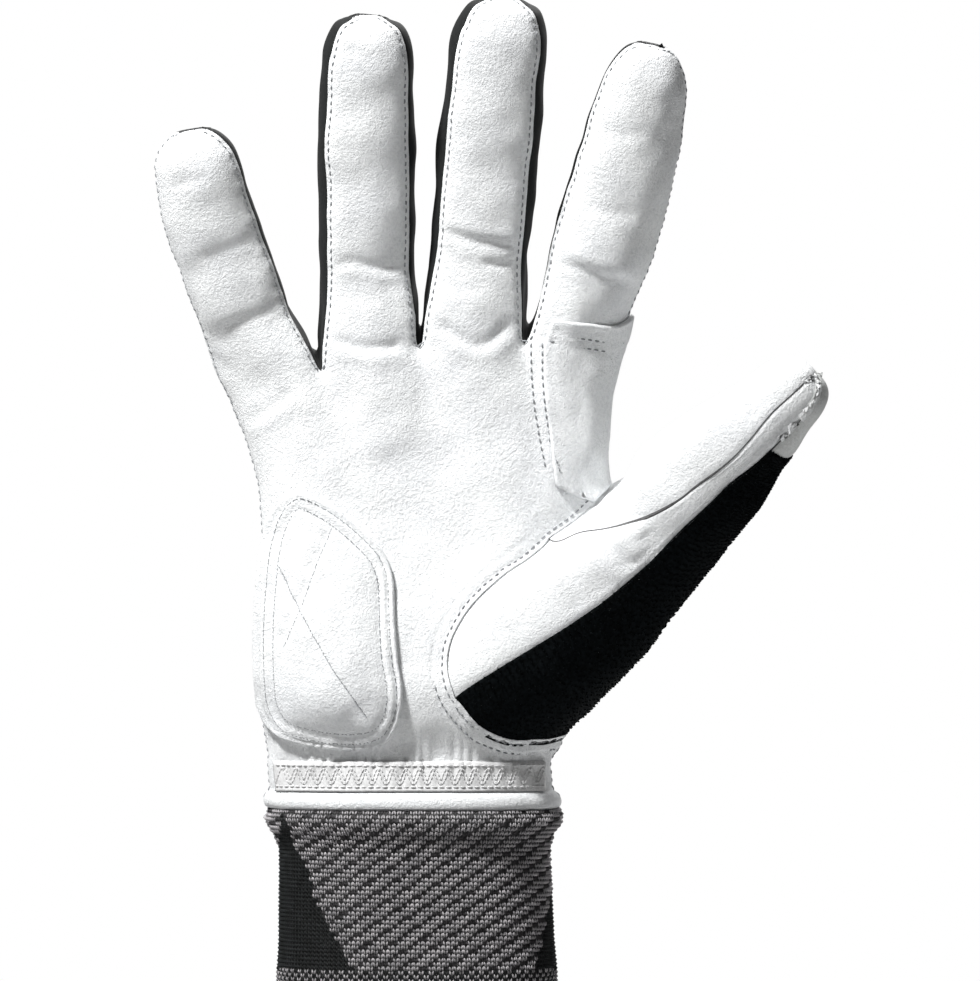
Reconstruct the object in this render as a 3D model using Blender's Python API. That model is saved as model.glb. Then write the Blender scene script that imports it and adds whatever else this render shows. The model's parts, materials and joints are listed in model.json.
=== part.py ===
"""Right-hand cross-country ski glove in its worn shape, palm towards -Y and fingers up.

Every sewn panel is a thin-walled solid cut from one hand surface: a palm tube that
splits into four finger tubes, with the thumb set into a hole on its radial side.
The palm tube is a grid of rows, from the cuff seam to the finger roots, and columns,
four for each finger. The origin is the middle of the cuff's mouth.
"""

import math
from collections import namedtuple

import bpy
import numpy as np
from mathutils import Vector
from mathutils.bvhtree import BVHTree

# Driving dimensions, in metres.
CUFF_LENGTH = 0.0467
CUFF_WIDTH = 0.0700
CUFF_DEPTH = 0.0520
CUFF_WALL = 0.0022
HEM_HEIGHT = 0.0050
HEM_SWELL = 0.0006

SEAM_GAP = 0.0003
MITRE_LIMIT = 2.5

PALM_LENGTH = 0.1170
PALM_WIDTH = 0.0900
PALM_DEPTH = 0.0450
THENAR_SWELL = 0.0065
HEEL_SWELL = 0.0042
PALM_HOLLOW = 0.0035
CROTCH_RISE = 0.0060
CROTCH_FLOOR = 0.0010

FINGER_WIDTH = 0.0250
FINGER_DEPTH = 0.0215
LITTLE_LENGTH = 0.0645
RING_LENGTH = 0.0858
MIDDLE_LENGTH = 0.0872
INDEX_LENGTH = 0.0776
CREASE_DEPTH = 0.0012

THUMB_LENGTH = 0.0960
THUMB_WIDTH = 0.0330
THUMB_DEPTH = 0.0290

LEATHER_WALL = 0.0014
SHELL_WALL = 0.0016
GUSSET_WALL = 0.0013
TERRY_WALL = 0.0019
ELASTIC_WALL = 0.0012
HEEL_PAD_THICKNESS = 0.0026
HEEL_PAD_EDGE = 0.0012
HEEL_PAD_GAP = 0.0007
INDEX_PATCH_THICKNESS = 0.0011

# Grid counts and shape exponents.
COLUMNS = 16
FINGER_COLUMNS = 4
SEAM_COLUMN = 12
INDEX_PATCH_COLUMN = 13
BACK_SEAM_COLUMN = 13
HOLE_FOOT_ROW = 4
HOLE_TOP_ROW = 9
PALM_ROUNDNESS = 2.4
FINGER_ROUNDNESS = 2.25
EDGE_SHARE = 0.035
CUFF_SIDES = 44

Row = namedtuple("Row", "left_x left_z seam_x seam_z right_x right_z back_seam_x back_seam_z")

# Palm rows from the cuff seam to the finger roots. x is a share of PALM_WIDTH from the
# wrist's middle, z a share of PALM_LENGTH above the cuff seam. The seam columns run down
# from the middle-index crotch and along the edge of the thumb hole.
PALM_ROWS = [
    Row(-0.422, 0.000, 0.167, 0.000, 0.402, 0.000, 0.250, 0.000),
    Row(-0.419, 0.034, 0.156, 0.034, 0.386, 0.034, 0.245, 0.034),
    Row(-0.419, 0.100, 0.144, 0.100, 0.380, 0.100, 0.245, 0.100),
    Row(-0.432, 0.166, 0.125, 0.171, 0.400, 0.133, 0.283, 0.155),
    Row(-0.444, 0.231, 0.108, 0.241, 0.420, 0.165, 0.322, 0.209),
    Row(-0.456, 0.299, 0.086, 0.299, 0.444, 0.290, 0.344, 0.308),
    Row(-0.456, 0.376, 0.102, 0.376, 0.456, 0.390, 0.372, 0.402),
    Row(-0.451, 0.453, 0.172, 0.451, 0.467, 0.490, 0.400, 0.491),
    Row(-0.444, 0.538, 0.267, 0.515, 0.489, 0.590, 0.428, 0.581),
    Row(-0.438, 0.624, 0.374, 0.584, 0.539, 0.695, 0.456, 0.662),
    Row(-0.452, 0.709, 0.352, 0.692, 0.531, 0.772, 0.440, 0.745),
    Row(-0.478, 0.786, 0.331, 0.803, 0.533, 0.850, 0.425, 0.840),
    Row(-0.511, 0.859, 0.314, 0.910, 0.550, 0.925, 0.405, 0.945),
    Row(-0.550, 0.919, 0.303, 1.004, 0.577, 0.996, 0.378, 1.055),
]

HolePoint = namedtuple("HolePoint", "x z")

# The foot and the top of the thumb hole, from the column after the front seam, over the
# radial side, to the column before the back seam. Shares as in PALM_ROWS.
HOLE_FOOT = [
    HolePoint(0.164, 0.187),
    HolePoint(0.236, 0.156),
    HolePoint(0.320, 0.148),
    HolePoint(0.384, 0.154),
    HolePoint(0.420, 0.165),
    HolePoint(0.398, 0.178),
    HolePoint(0.372, 0.188),
    HolePoint(0.347, 0.197),
]
HOLE_TOP = [
    HolePoint(0.411, 0.602),
    HolePoint(0.448, 0.622),
    HolePoint(0.481, 0.645),
    HolePoint(0.514, 0.672),
    HolePoint(0.539, 0.695),
    HolePoint(0.524, 0.697),
    HolePoint(0.503, 0.689),
    HolePoint(0.481, 0.677),
]

Depth = namedtuple("Depth", "z front back middle")

# Half depths of the palm tube in front of and behind its middle surface, and where that
# surface lies. z is a share of PALM_LENGTH, the others are shares of PALM_DEPTH.
PALM_DEPTHS = [
    Depth(0.00, 0.556, 0.556, 0.000),
    Depth(0.06, 0.456, 0.511, 0.000),
    Depth(0.10, 0.444, 0.500, 0.000),
    Depth(0.17, 0.478, 0.478, 0.000),
    Depth(0.23, 0.511, 0.456, 0.000),
    Depth(0.38, 0.467, 0.411, 0.010),
    Depth(0.54, 0.433, 0.367, 0.025),
    Depth(0.69, 0.384, 0.329, 0.045),
    Depth(0.86, 0.335, 0.290, 0.050),
    Depth(1.06, 0.300, 0.250, 0.040),
]

Swell = namedtuple("Swell", "x z radius_x radius_z")

# Where the palm swells or dips. Shares of PALM_WIDTH and PALM_LENGTH.
THENAR = Swell(0.30, 0.33, 0.26, 0.21)
HEEL = Swell(-0.27, 0.32, 0.22, 0.20)
HOLLOW = Swell(0.02, 0.58, 0.24, 0.22)

Crotch = namedtuple("Crotch", "x z")

# Where the front edges of two neighbouring fingers meet. Shares as in PALM_ROWS.
CROTCHES = [Crotch(-0.269, 0.945), Crotch(0.009, 0.997), Crotch(0.303, 1.004)]
CROTCH_DEPTH_SHARE = 0.62
SCALLOP_ROWS = {11: 0.25, 12: 0.60, 13: 1.00}

Finger = namedtuple(
    "Finger", "name length size taper splay_root splay_tip lean_root lean_tip left_edge right_edge"
)

# size is a share of FINGER_WIDTH and FINGER_DEPTH, and taper the share of it lost at the
# tip. splay turns the axis to the ulnar side and lean turns it forwards, in degrees. The
# edges are where the white front panel ends, in degrees forwards of the finger's side.
FINGERS = [
    Finger("little", LITTLE_LENGTH, 0.93, 0.01, 29, 8, 7, 16, 30, 24),
    Finger("ring", RING_LENGTH, 0.99, 0.00, 2, -2, 8, 14, 39, 32),
    Finger("middle", MIDDLE_LENGTH, 1.03, 0.00, -4, -7, 8, 13, 37, 37),
    Finger("index", INDEX_LENGTH, 1.10, 0.18, -21, -10, 8, 17, 17, 30),
]
BACK_EDGE = 30

FingerSection = namedtuple("FingerSection", "along width crease")

# Sections of a finger between its root and where its tip starts to round. along is a share
# of that stretch, width of the finger's width and crease of CREASE_DEPTH.
FINGER_SECTIONS = [
    FingerSection(0.10, 0.955, 0.0),
    FingerSection(0.19, 0.955, 0.5),
    FingerSection(0.27, 0.96, 1.0),
    FingerSection(0.35, 0.98, 0.2),
    FingerSection(0.46, 1.00, 0.0),
    FingerSection(0.58, 1.00, 0.4),
    FingerSection(0.70, 1.01, 0.0),
    FingerSection(0.82, 0.99, 0.0),
    FingerSection(0.92, 0.97, 0.0),
    FingerSection(1.00, 0.95, 0.0),
]
TIP_ANGLES = [66, 45, 27, 12]
FRONT_TIP_RINGS = 4
TIP_ROUNDNESS = 0.75
ROOT_BLEND = 0.34

ThumbSection = namedtuple("ThumbSection", "along x y z width depth front_seam black_seam")

# Thumb sections from the middle of its hole to where its tip starts to round. x, y and z
# are the axis, as shares of THUMB_LENGTH from the palm's cuff seam, width and depth are
# shares of the thumb's, and the seams are angles forwards of its lower edge, in degrees.
THUMB_SECTIONS = [
    ThumbSection(0.00, 0.330, -0.080, 0.500, 1.16, 1.16, 118, 62),
    ThumbSection(0.10, 0.420, -0.105, 0.554, 1.11, 1.14, 116, 66),
    ThumbSection(0.20, 0.508, -0.135, 0.618, 1.13, 1.10, 114, 70),
    ThumbSection(0.30, 0.588, -0.165, 0.688, 1.12, 1.06, 111, 72),
    ThumbSection(0.42, 0.654, -0.195, 0.764, 1.12, 1.02, 101, 72),
    ThumbSection(0.54, 0.715, -0.222, 0.832, 1.00, 0.98, 93, 72),
    ThumbSection(0.66, 0.760, -0.243, 0.880, 0.95, 0.95, 90, 71),
    ThumbSection(0.76, 0.804, -0.262, 0.923, 0.89, 0.93, 87, 70),
    ThumbSection(0.86, 0.850, -0.282, 0.970, 0.79, 0.91, 84, 62),
    ThumbSection(0.93, 0.900, -0.300, 1.014, 0.70, 0.87, 86, 58),
    ThumbSection(1.00, 0.950, -0.317, 1.060, 0.60, 0.80, 90, 52),
]
THUMB_BACK_SEAMS = (262, 292)
THUMB_TIP = 0.135
THUMB_BLEND_END = 0.38
THUMB_SHEAR_END = 0.66
TERRY_LAST_SECTION = 9

PatchRow = namedtuple("PatchRow", "z left right")

# The padded patch on the heel of the hand, from its foot to its top: z a share of
# PALM_LENGTH above the cuff seam, left and right shares of PALM_WIDTH.
HEEL_PAD_ROWS = [
    PatchRow(0.129, -0.310, -0.135),
    PatchRow(0.137, -0.375, -0.085),
    PatchRow(0.160, -0.404, -0.055),
    PatchRow(0.200, -0.414, -0.042),
    PatchRow(0.255, -0.418, -0.040),
    PatchRow(0.320, -0.420, -0.044),
    PatchRow(0.385, -0.420, -0.050),
    PatchRow(0.450, -0.418, -0.057),
    PatchRow(0.500, -0.415, -0.068),
    PatchRow(0.545, -0.411, -0.102),
    PatchRow(0.590, -0.404, -0.150),
    PatchRow(0.630, -0.395, -0.200),
    PatchRow(0.660, -0.375, -0.255),
    PatchRow(0.678, -0.350, -0.310),
]
HEEL_PAD_SIDES = 32
HEEL_PAD_RINGS = [1.00, 0.90, 0.76, 0.58, 0.38, 0.18]

CuffSection = namedtuple("CuffSection", "z width")

# Outer outline of the knitted cuff above its hem. z is a share of CUFF_LENGTH, width of
# CUFF_WIDTH. The last row meets the palm tube, so its width comes from PALM_ROWS.
CUFF_SECTIONS = [
    CuffSection(0.20, 1.000),
    CuffSection(0.35, 0.996),
    CuffSection(0.50, 0.990),
    CuffSection(0.64, 0.984),
    CuffSection(0.76, 0.983),
    CuffSection(0.84, 1.018),
    CuffSection(0.90, 1.068),
    CuffSection(0.95, 1.082),
]

Paint = namedtuple("Paint", "colour roughness")

PAINTS = {
    "white_leather": Paint((0.86, 0.87, 0.87), 0.85),
    "black_shell": Paint((0.020, 0.022, 0.024), 0.80),
    "black_gusset": Paint((0.018, 0.019, 0.020), 0.85),
    "black_terry": Paint((0.010, 0.012, 0.014), 0.95),
    "white_elastic": Paint((0.78, 0.78, 0.77), 0.70),
    "grey_knit": Paint((0.30, 0.29, 0.30), 0.90),
}


def clear_scene():
    for obj in list(bpy.data.objects):
        bpy.data.objects.remove(obj, do_unlink=True)


def smoothstep(value):
    value = min(max(value, 0.0), 1.0)
    return value * value * (3.0 - 2.0 * value)


def rounded(angle, exponent):
    """Cosine and sine of an angle on a superellipse."""
    cosine, sine = math.cos(angle), math.sin(angle)
    return (
        math.copysign(abs(cosine) ** (2.0 / exponent), cosine),
        math.copysign(abs(sine) ** (2.0 / exponent), sine),
    )


def column_of(rows, name):
    return [getattr(row, name) for row in rows]


def palm_x(share):
    return share * PALM_WIDTH


def palm_z(share):
    return CUFF_LENGTH + SEAM_GAP + share * PALM_LENGTH


def swell(place, x, z):
    """How much of a swelling reaches a point of the palm, 1 at its middle."""
    across = (x / PALM_WIDTH - place.x) / place.radius_x
    along = ((z - palm_z(0.0)) / PALM_LENGTH - place.z) / place.radius_z
    return math.exp(-across * across - along * along)


def palm_depth(x, z, front):
    """y of the palm tube's front or back surface at a point seen from the front."""
    share = (z - palm_z(0.0)) / PALM_LENGTH
    left = palm_x(np.interp(share, column_of(PALM_ROWS, "left_z"), column_of(PALM_ROWS, "left_x")))
    right = palm_x(np.interp(share, column_of(PALM_ROWS, "right_z"), column_of(PALM_ROWS, "right_x")))
    heights = column_of(PALM_DEPTHS, "z")
    middle = PALM_DEPTH * np.interp(share, heights, column_of(PALM_DEPTHS, "middle"))
    across = min(1.0, abs(2.0 * x - left - right) / (right - left))
    bulge = (1.0 - across**PALM_ROUNDNESS) ** (1.0 / PALM_ROUNDNESS)
    if not front:
        return middle + bulge * PALM_DEPTH * np.interp(share, heights, column_of(PALM_DEPTHS, "back"))
    forward = bulge * PALM_DEPTH * np.interp(share, heights, column_of(PALM_DEPTHS, "front"))
    forward += bulge * THENAR_SWELL * swell(THENAR, x, z)
    forward += bulge * HEEL_SWELL * swell(HEEL, x, z)
    forward -= PALM_HOLLOW * swell(HOLLOW, x, z)
    return middle - forward


class Surface:
    """The whole hand surface: shared points, and faces that each belong to a panel."""

    def __init__(self):
        self.points = []
        self.faces = []
        self.panels = []
        self.level = set()
        self.raised = set()

    def point(self, x, y, z):
        self.points.append(np.array((x, y, z), float))
        return len(self.points) - 1

    def face(self, corners, panel):
        self.faces.append(tuple(corners))
        self.panels.append(panel)

    def normals(self):
        """Outward normals of the points, from all the faces around each. Those of the
        level points have no slope, so that walls end flat at the cuff, and those of the
        raised points turn halfway up, so that the crotches keep their wall."""
        total = np.zeros((len(self.points), 3))
        for corners in self.faces:
            ring = [self.points[c] for c in corners]
            normal = sum(np.cross(ring[i - 1], ring[i]) for i in range(len(ring)))
            for corner in corners:
                total[corner] += normal
        total /= np.linalg.norm(total, axis=1)[:, None]
        total[sorted(self.level), 2] = 0.0
        total[sorted(self.raised), 2] += 1.0
        return total / np.linalg.norm(total, axis=1)[:, None]


def spread(first, last, count):
    """count + 1 pairs from first to last, evenly spaced."""
    return [
        tuple(a + (b - a) * step / count for a, b in zip(first, last))
        for step in range(count + 1)
    ]


def edge_inset(row, side):
    """Where a row's front and back edge columns lie, inside its outline."""
    inset = EDGE_SHARE * (row.right_x - row.left_x)
    if side == "left":
        return row.left_x + inset, row.left_z
    return row.right_x - inset, row.right_z


def front_shares(index, row):
    """x and z shares of a row's front columns. In the thumb hole it has fewer."""
    shares = spread(edge_inset(row, "left"), (row.seam_x, row.seam_z), SEAM_COLUMN)
    if index == HOLE_FOOT_ROW:
        return shares + [tuple(p) for p in HOLE_FOOT[: COLUMNS - SEAM_COLUMN]]
    if index == HOLE_TOP_ROW:
        return shares + [tuple(p) for p in HOLE_TOP[: COLUMNS - SEAM_COLUMN]]
    if HOLE_FOOT_ROW < index < HOLE_TOP_ROW:
        return shares
    if index == HOLE_FOOT_ROW - 1:
        below = spread((PALM_ROWS[2].seam_x, PALM_ROWS[2].seam_z), edge_inset(PALM_ROWS[2], "right"), 4)
        above = [tuple(p) for p in HOLE_FOOT[: COLUMNS - SEAM_COLUMN]]
        return shares + [
            ((a[0] + b[0]) / 2, (a[1] + b[1]) / 2) for a, b in zip(below[1:], above)
        ]
    right = spread((row.seam_x, row.seam_z), edge_inset(row, "right"), COLUMNS - SEAM_COLUMN)
    return shares + right[1:]


def back_shares(index, row):
    """x and z shares of a row's back columns, from the ulnar edge."""
    seam = (row.back_seam_x, row.back_seam_z)
    shares = spread(edge_inset(row, "left"), seam, BACK_SEAM_COLUMN)
    beyond = COLUMNS - BACK_SEAM_COLUMN
    if index == HOLE_FOOT_ROW:
        return shares + [tuple(p) for p in reversed(HOLE_FOOT[-beyond:])]
    if index == HOLE_TOP_ROW:
        return shares + [tuple(p) for p in reversed(HOLE_TOP[-beyond:])]
    if HOLE_FOOT_ROW < index < HOLE_TOP_ROW:
        return shares
    return shares + spread(seam, edge_inset(row, "right"), beyond)[1:]


def crotch_share(column):
    """x and z shares of the finger-root row's front column, through the crotches."""
    last = PALM_ROWS[-1]
    stops = [edge_inset(last, "left"), *[tuple(c) for c in CROTCHES], edge_inset(last, "right")]
    finger, step = divmod(column, FINGER_COLUMNS)
    if finger == len(stops) - 1:
        return stops[-1]
    first, after = stops[finger], stops[finger + 1]
    return tuple(a + (b - a) * step / FINGER_COLUMNS for a, b in zip(first, after))


def root_blend(index, column, share):
    """Moves a high row's front column towards the curve through the crotches."""
    weight = SCALLOP_ROWS.get(index, 0.0)
    flat = front_shares(len(PALM_ROWS) - 1, PALM_ROWS[-1])[column]
    target = crotch_share(column)
    return (
        share[0] + weight * (target[0] - flat[0]),
        share[1] + weight * (target[1] - flat[1]),
    )


def scallop(index, column):
    """Share of the front depth left at a column, less at a crotch than on a finger."""
    step = column % FINGER_COLUMNS
    arch = math.sin(math.pi * step / FINGER_COLUMNS)
    inner = 0 < column < COLUMNS
    dip = 1.0 - CROTCH_DEPTH_SHARE
    return 1.0 - SCALLOP_ROWS.get(index, 0.0) * dip * (1.0 - arch) * (1.0 if inner else 0.5)


def root_lean(column):
    """How far a finger's root leans to the ulnar side for each length upwards."""
    middles = [(number + 0.5) * FINGER_COLUMNS for number in range(len(FINGERS))]
    splay = np.interp(column, middles, column_of(FINGERS, "splay_root"))
    return math.tan(math.radians(splay))


class PalmRow:
    """Point numbers of one row: front and back columns, and the two side points."""

    def __init__(self, surface, index, row):
        self.front = []
        for column, share in enumerate(front_shares(index, row)):
            x_share, z_share = root_blend(index, column, share)
            x, z = palm_x(x_share), palm_z(z_share)
            y = palm_depth(x, z, True) * scallop(index, column)
            self.front.append(surface.point(x, y, z))
        rise = CROTCH_RISE if index == len(PALM_ROWS) - 1 else 0.0
        self.back = []
        for column, share in enumerate(back_shares(index, row)):
            x_share, z_share = share
            if index == len(PALM_ROWS) - 1:
                x_share, z_share = crotch_share(column)
            x, z = palm_x(x_share) - rise * root_lean(column), palm_z(z_share) + rise
            y = palm_depth(x, z, False) * (1.0 + scallop(index, column)) / 2.0
            self.back.append(surface.point(x, y, z))
        self.ulnar = self.side_point(surface, row.left_x, row.left_z, rise, 0)
        side = HOLE_FOOT[COLUMNS - SEAM_COLUMN] if index == HOLE_FOOT_ROW else None
        side = HOLE_TOP[COLUMNS - SEAM_COLUMN] if index == HOLE_TOP_ROW else side
        self.radial = None
        if not HOLE_FOOT_ROW < index < HOLE_TOP_ROW:
            share = side or HolePoint(row.right_x, row.right_z)
            self.radial = self.side_point(surface, share.x, share.z, rise, COLUMNS)

    @staticmethod
    def side_point(surface, x_share, z_share, rise, column):
        x = palm_x(x_share) - rise / 2.0 * root_lean(column)
        z = palm_z(z_share) + rise / 2.0
        share = (z - palm_z(0.0)) / PALM_LENGTH
        middle = np.interp(share, column_of(PALM_DEPTHS, "z"), column_of(PALM_DEPTHS, "middle"))
        return surface.point(x, PALM_DEPTH * middle, z)


def build_palm(surface):
    """Rows of the palm tube and the faces between them, around the thumb hole."""
    rows = [PalmRow(surface, i, row) for i, row in enumerate(PALM_ROWS)]
    for index in range(len(rows) - 1):
        below, above = rows[index], rows[index + 1]
        in_hole = HOLE_FOOT_ROW <= index < HOLE_TOP_ROW
        for column in range(SEAM_COLUMN if in_hole else COLUMNS):
            corners = (below.front[column], below.front[column + 1],
                       above.front[column + 1], above.front[column])
            surface.face(corners, "palm_panel")
        for column in range(BACK_SEAM_COLUMN if in_hole else COLUMNS):
            corners = (below.back[column + 1], below.back[column],
                       above.back[column], above.back[column + 1])
            surface.face(corners, "back_panel")
        surface.face((below.ulnar, below.front[0], above.front[0], above.ulnar), "palm_panel")
        surface.face((below.back[0], below.ulnar, above.ulnar, above.back[0]), "back_panel")
        if in_hole:
            continue
        surface.face((below.front[-1], below.radial, above.radial, above.front[-1]), "palm_panel")
        surface.face((below.radial, below.back[-1], above.back[-1], above.radial), "back_panel")
    surface.level.update([*rows[0].front, *rows[0].back, rows[0].ulnar, rows[0].radial])
    return rows


def axis_frame(splay, lean):
    """Axis, lateral and forward directions of a tube, from two angles in degrees."""
    splay, lean = math.radians(splay), math.radians(lean)
    flat = math.cos(lean)
    axis = np.array((-math.sin(splay) * flat, -math.sin(lean), math.cos(splay) * flat))
    forward = np.array((0.0, -1.0, 0.0))
    forward -= axis * forward.dot(axis)
    forward /= np.linalg.norm(forward)
    return axis, np.cross(axis, forward), forward


def finger_angles(finger):
    """Angles of a finger's ring of points: front, radial side, back, ulnar side."""
    front = np.linspace(180 - finger.left_edge, finger.right_edge, FINGER_COLUMNS + 1)
    back = np.linspace(-BACK_EDGE, BACK_EDGE - 180, FINGER_COLUMNS + 1)
    return [math.radians(a) for a in (*front, 0.0, *back, 180.0)]


def ring_points(centre, lateral, forward, half_width, half_depth, angles, crease=0.0):
    """Points of one superelliptic section. A crease pulls its front in."""
    ring = []
    for angle in angles:
        across, ahead = rounded(angle, FINGER_ROUNDNESS)
        dent = crease * max(0.0, ahead)
        ring.append(centre + lateral * half_width * across + forward * (half_depth * ahead - dent))
    return ring


def finger_path(finger, root, steps=60):
    """Points and frames along a finger's curved axis."""
    place = np.array(root, float)
    path = []
    for step in range(steps + 1):
        share = step / steps
        splay = finger.splay_root + (finger.splay_tip - finger.splay_root) * share
        lean = finger.lean_root + (finger.lean_tip - finger.lean_root) * share
        frame = axis_frame(splay, lean)
        path.append((place.copy(), frame))
        place += frame[0] * finger.length / steps
    return path


def taper_at(finger, distance):
    return 1.0 - finger.taper * distance / finger.length


def finger_stations(finger):
    """(distance along the axis, width share, crease share) of a finger's sections."""
    round_length = 0.5 * FINGER_WIDTH * finger.size * 0.95
    straight = finger.length - round_length
    stations = []
    for section in FINGER_SECTIONS:
        distance = section.along * straight
        stations.append((distance, section.width * taper_at(finger, distance), section.crease))
    last = stations[-1][1]
    for angle in TIP_ANGLES:
        turn = math.radians(angle)
        width = last * math.sin(turn) ** TIP_ROUNDNESS
        stations.append((straight + round_length * math.cos(turn), width, 0.0))
    return stations


def build_finger(surface, finger, base, first_side, last_side):
    """A finger tube on the ring of points base. The sides name the panels beside it."""
    half_width = 0.5 * FINGER_WIDTH * finger.size
    half_depth = 0.5 * FINGER_DEPTH * finger.size
    angles = finger_angles(finger)
    base_points = [surface.points[p] for p in base]
    root = sum(base_points) / len(base_points)
    path = finger_path(finger, root)
    _, lateral, forward = path[0][1]
    start = ring_points(root, lateral, forward, half_width, half_depth, angles)
    shift = [b - s for b, s in zip(base_points, start)]
    sections = len(FINGER_SECTIONS)
    below = list(base)
    rings = []
    for number, (distance, width, crease) in enumerate(finger_stations(finger)):
        place, (_, lateral, forward) = path[round(distance / finger.length * (len(path) - 1))]
        ring = ring_points(place, lateral, forward, half_width * width, half_depth * width,
                           angles, CREASE_DEPTH * crease)
        fade = 1.0 - smoothstep(distance / (ROOT_BLEND * finger.length))
        above = [surface.point(*(p + s * fade)) for p, s in zip(ring, shift)]
        wrapped = number < sections + FRONT_TIP_RINGS
        side_names = finger_side_names(first_side, last_side, wrapped)
        for column in range(len(above)):
            after = (column + 1) % len(above)
            corners = (below[column], below[after], above[after], above[column])
            surface.face(corners, side_names[column])
        rings.append(above)
        below = above
    tip = surface.point(*path[-1][0])
    for column in range(len(below)):
        surface.face((below[column], below[(column + 1) % len(below)], tip), "back_panel")
    return rings[0]


def finger_side_names(first_side, last_side, wrapped):
    """Panel of each column of a finger, in the ring's order."""
    if not wrapped:
        return ["back_panel"] * (2 * FINGER_COLUMNS + 4)
    front = ["palm_panel"] * FINGER_COLUMNS
    back = ["back_panel"] * FINGER_COLUMNS
    return [*front, last_side[0], last_side[1], *back, first_side[1], first_side[0]]


def build_fingers(surface, rows):
    """The four fingers, which share a slanting crotch line with each neighbour. Returns
    the index finger's first ring of points."""
    top = rows[-1]
    outer = ("palm_panel", "back_panel")
    gussets = [(f"gusset_{a.name}_{b.name}",) * 2 for a, b in zip(FINGERS, FINGERS[1:])]
    names = [outer, *gussets, outer]
    sides = [top.ulnar]
    for number in range(1, len(FINGERS)):
        column = number * FINGER_COLUMNS
        front, back = top.front[column], top.back[column]
        middle = (surface.points[front] + surface.points[back]) / 2.0
        half = np.array((CROTCH_FLOOR / 2.0, 0.0, 0.0))
        floor = [surface.point(*(middle - half)), surface.point(*(middle + half))]
        surface.face((front, floor[1], back, floor[0]), names[number][0])
        surface.raised.update([front, back, *floor])
        sides += floor
    sides.append(top.radial)
    for number, finger in enumerate(FINGERS):
        first = number * FINGER_COLUMNS
        last = first + FINGER_COLUMNS
        front = top.front[first:last + 1]
        back = top.back[first:last + 1][::-1]
        base = [*front, sides[2 * number + 1], *back, sides[2 * number]]
        first_ring = build_finger(surface, finger, base, names[number], names[number + 1])
    return first_ring


def hole_ring(rows):
    """Points round the thumb hole: up the front seam, over the top, down the back."""
    hole_rows = rows[HOLE_FOOT_ROW:HOLE_TOP_ROW + 1]
    foot, top = hole_rows[0], hole_rows[-1]
    front = [row.front[SEAM_COLUMN] for row in hole_rows]
    over = [*top.front[SEAM_COLUMN + 1:], top.radial, *reversed(top.back[BACK_SEAM_COLUMN + 1:])]
    down = [row.back[BACK_SEAM_COLUMN] for row in reversed(hole_rows)]
    under = [*foot.back[BACK_SEAM_COLUMN + 1:], foot.radial, *reversed(foot.front[SEAM_COLUMN + 1:])]
    return front, over, down, under


def thumb_angles(section, counts):
    """Angles of the thumb's ring of points, from the black seam up to the front seam."""
    front, over, down, under = counts
    stops = [section.black_seam, section.front_seam, *THUMB_BACK_SEAMS, section.black_seam + 360]
    angles = []
    for first, last, steps in zip(stops, stops[1:], (front, over, down, under)):
        angles += list(np.linspace(first, last, steps + 1)[:-1])
    return [math.radians(a) for a in angles]


def thumb_centre(section):
    return np.array((section.x, section.y, section.z)) * THUMB_LENGTH + np.array((0.0, 0.0, palm_z(0.0)))


def thumb_frames():
    """Centre, upward and forward directions of each thumb section."""
    centres = [thumb_centre(section) for section in THUMB_SECTIONS]
    frames = []
    for number, centre in enumerate(centres):
        before = centres[max(number - 1, 0)]
        after = centres[min(number + 1, len(centres) - 1)]
        axis = (after - before) / np.linalg.norm(after - before)
        forward = np.array((0.0, -1.0, 0.0)) + axis[1] * axis
        forward /= np.linalg.norm(forward)
        frames.append((centre, axis, np.cross(forward, axis), forward))
    return frames


def thumb_ring(frame, section, width, angles):
    """Points of a thumb section: 0 degrees is its lower edge and 90 its front."""
    centre, _, upward, forward = frame
    half_width = 0.5 * THUMB_WIDTH * section.width * width
    half_depth = 0.5 * THUMB_DEPTH * section.depth * width
    return ring_points(centre, -upward, forward, half_width, half_depth, angles)


def build_thumb(surface, rows):
    """The set-in thumb: a pad panel, a side strip, a terry back and a tip patch."""
    front, over, down, under = hole_ring(rows)
    base = [*front, *over, *down, *under]
    counts = (len(front) - 1, len(over) + 1, len(down) - 1, len(under) + 1)
    names = ["thumb_side_panel"] * counts[0] + ["thumb_pad_panel"] * counts[1]
    names += ["thumb_terry_back"] * (counts[2] + counts[3])
    tip_names = [n if n != "thumb_terry_back" else "thumb_tip_patch" for n in names]
    frames = thumb_frames()
    start = thumb_ring(frames[0], THUMB_SECTIONS[0], 1.0, thumb_angles(THUMB_SECTIONS[0], counts))
    shift = [surface.points[b] - s for b, s in zip(base, start)]
    axis = frames[0][1]
    below = base
    for number in range(1, len(THUMB_SECTIONS)):
        section = THUMB_SECTIONS[number]
        ring = thumb_ring(frames[number], section, 1.0, thumb_angles(section, counts))
        aside = 1.0 - smoothstep(section.along / THUMB_BLEND_END)
        ahead = max(0.0, 1.0 - section.along / THUMB_SHEAR_END) ** 1.1
        above = []
        for place, move in zip(ring, shift):
            shear = axis * move.dot(axis)
            above.append(surface.point(*(place + shear * ahead + (move - shear) * aside)))
        band_faces(surface, below, above, names if number <= TERRY_LAST_SECTION else tip_names)
        below = above
    close_thumb_tip(surface, below, frames[-1], counts, tip_names)


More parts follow.
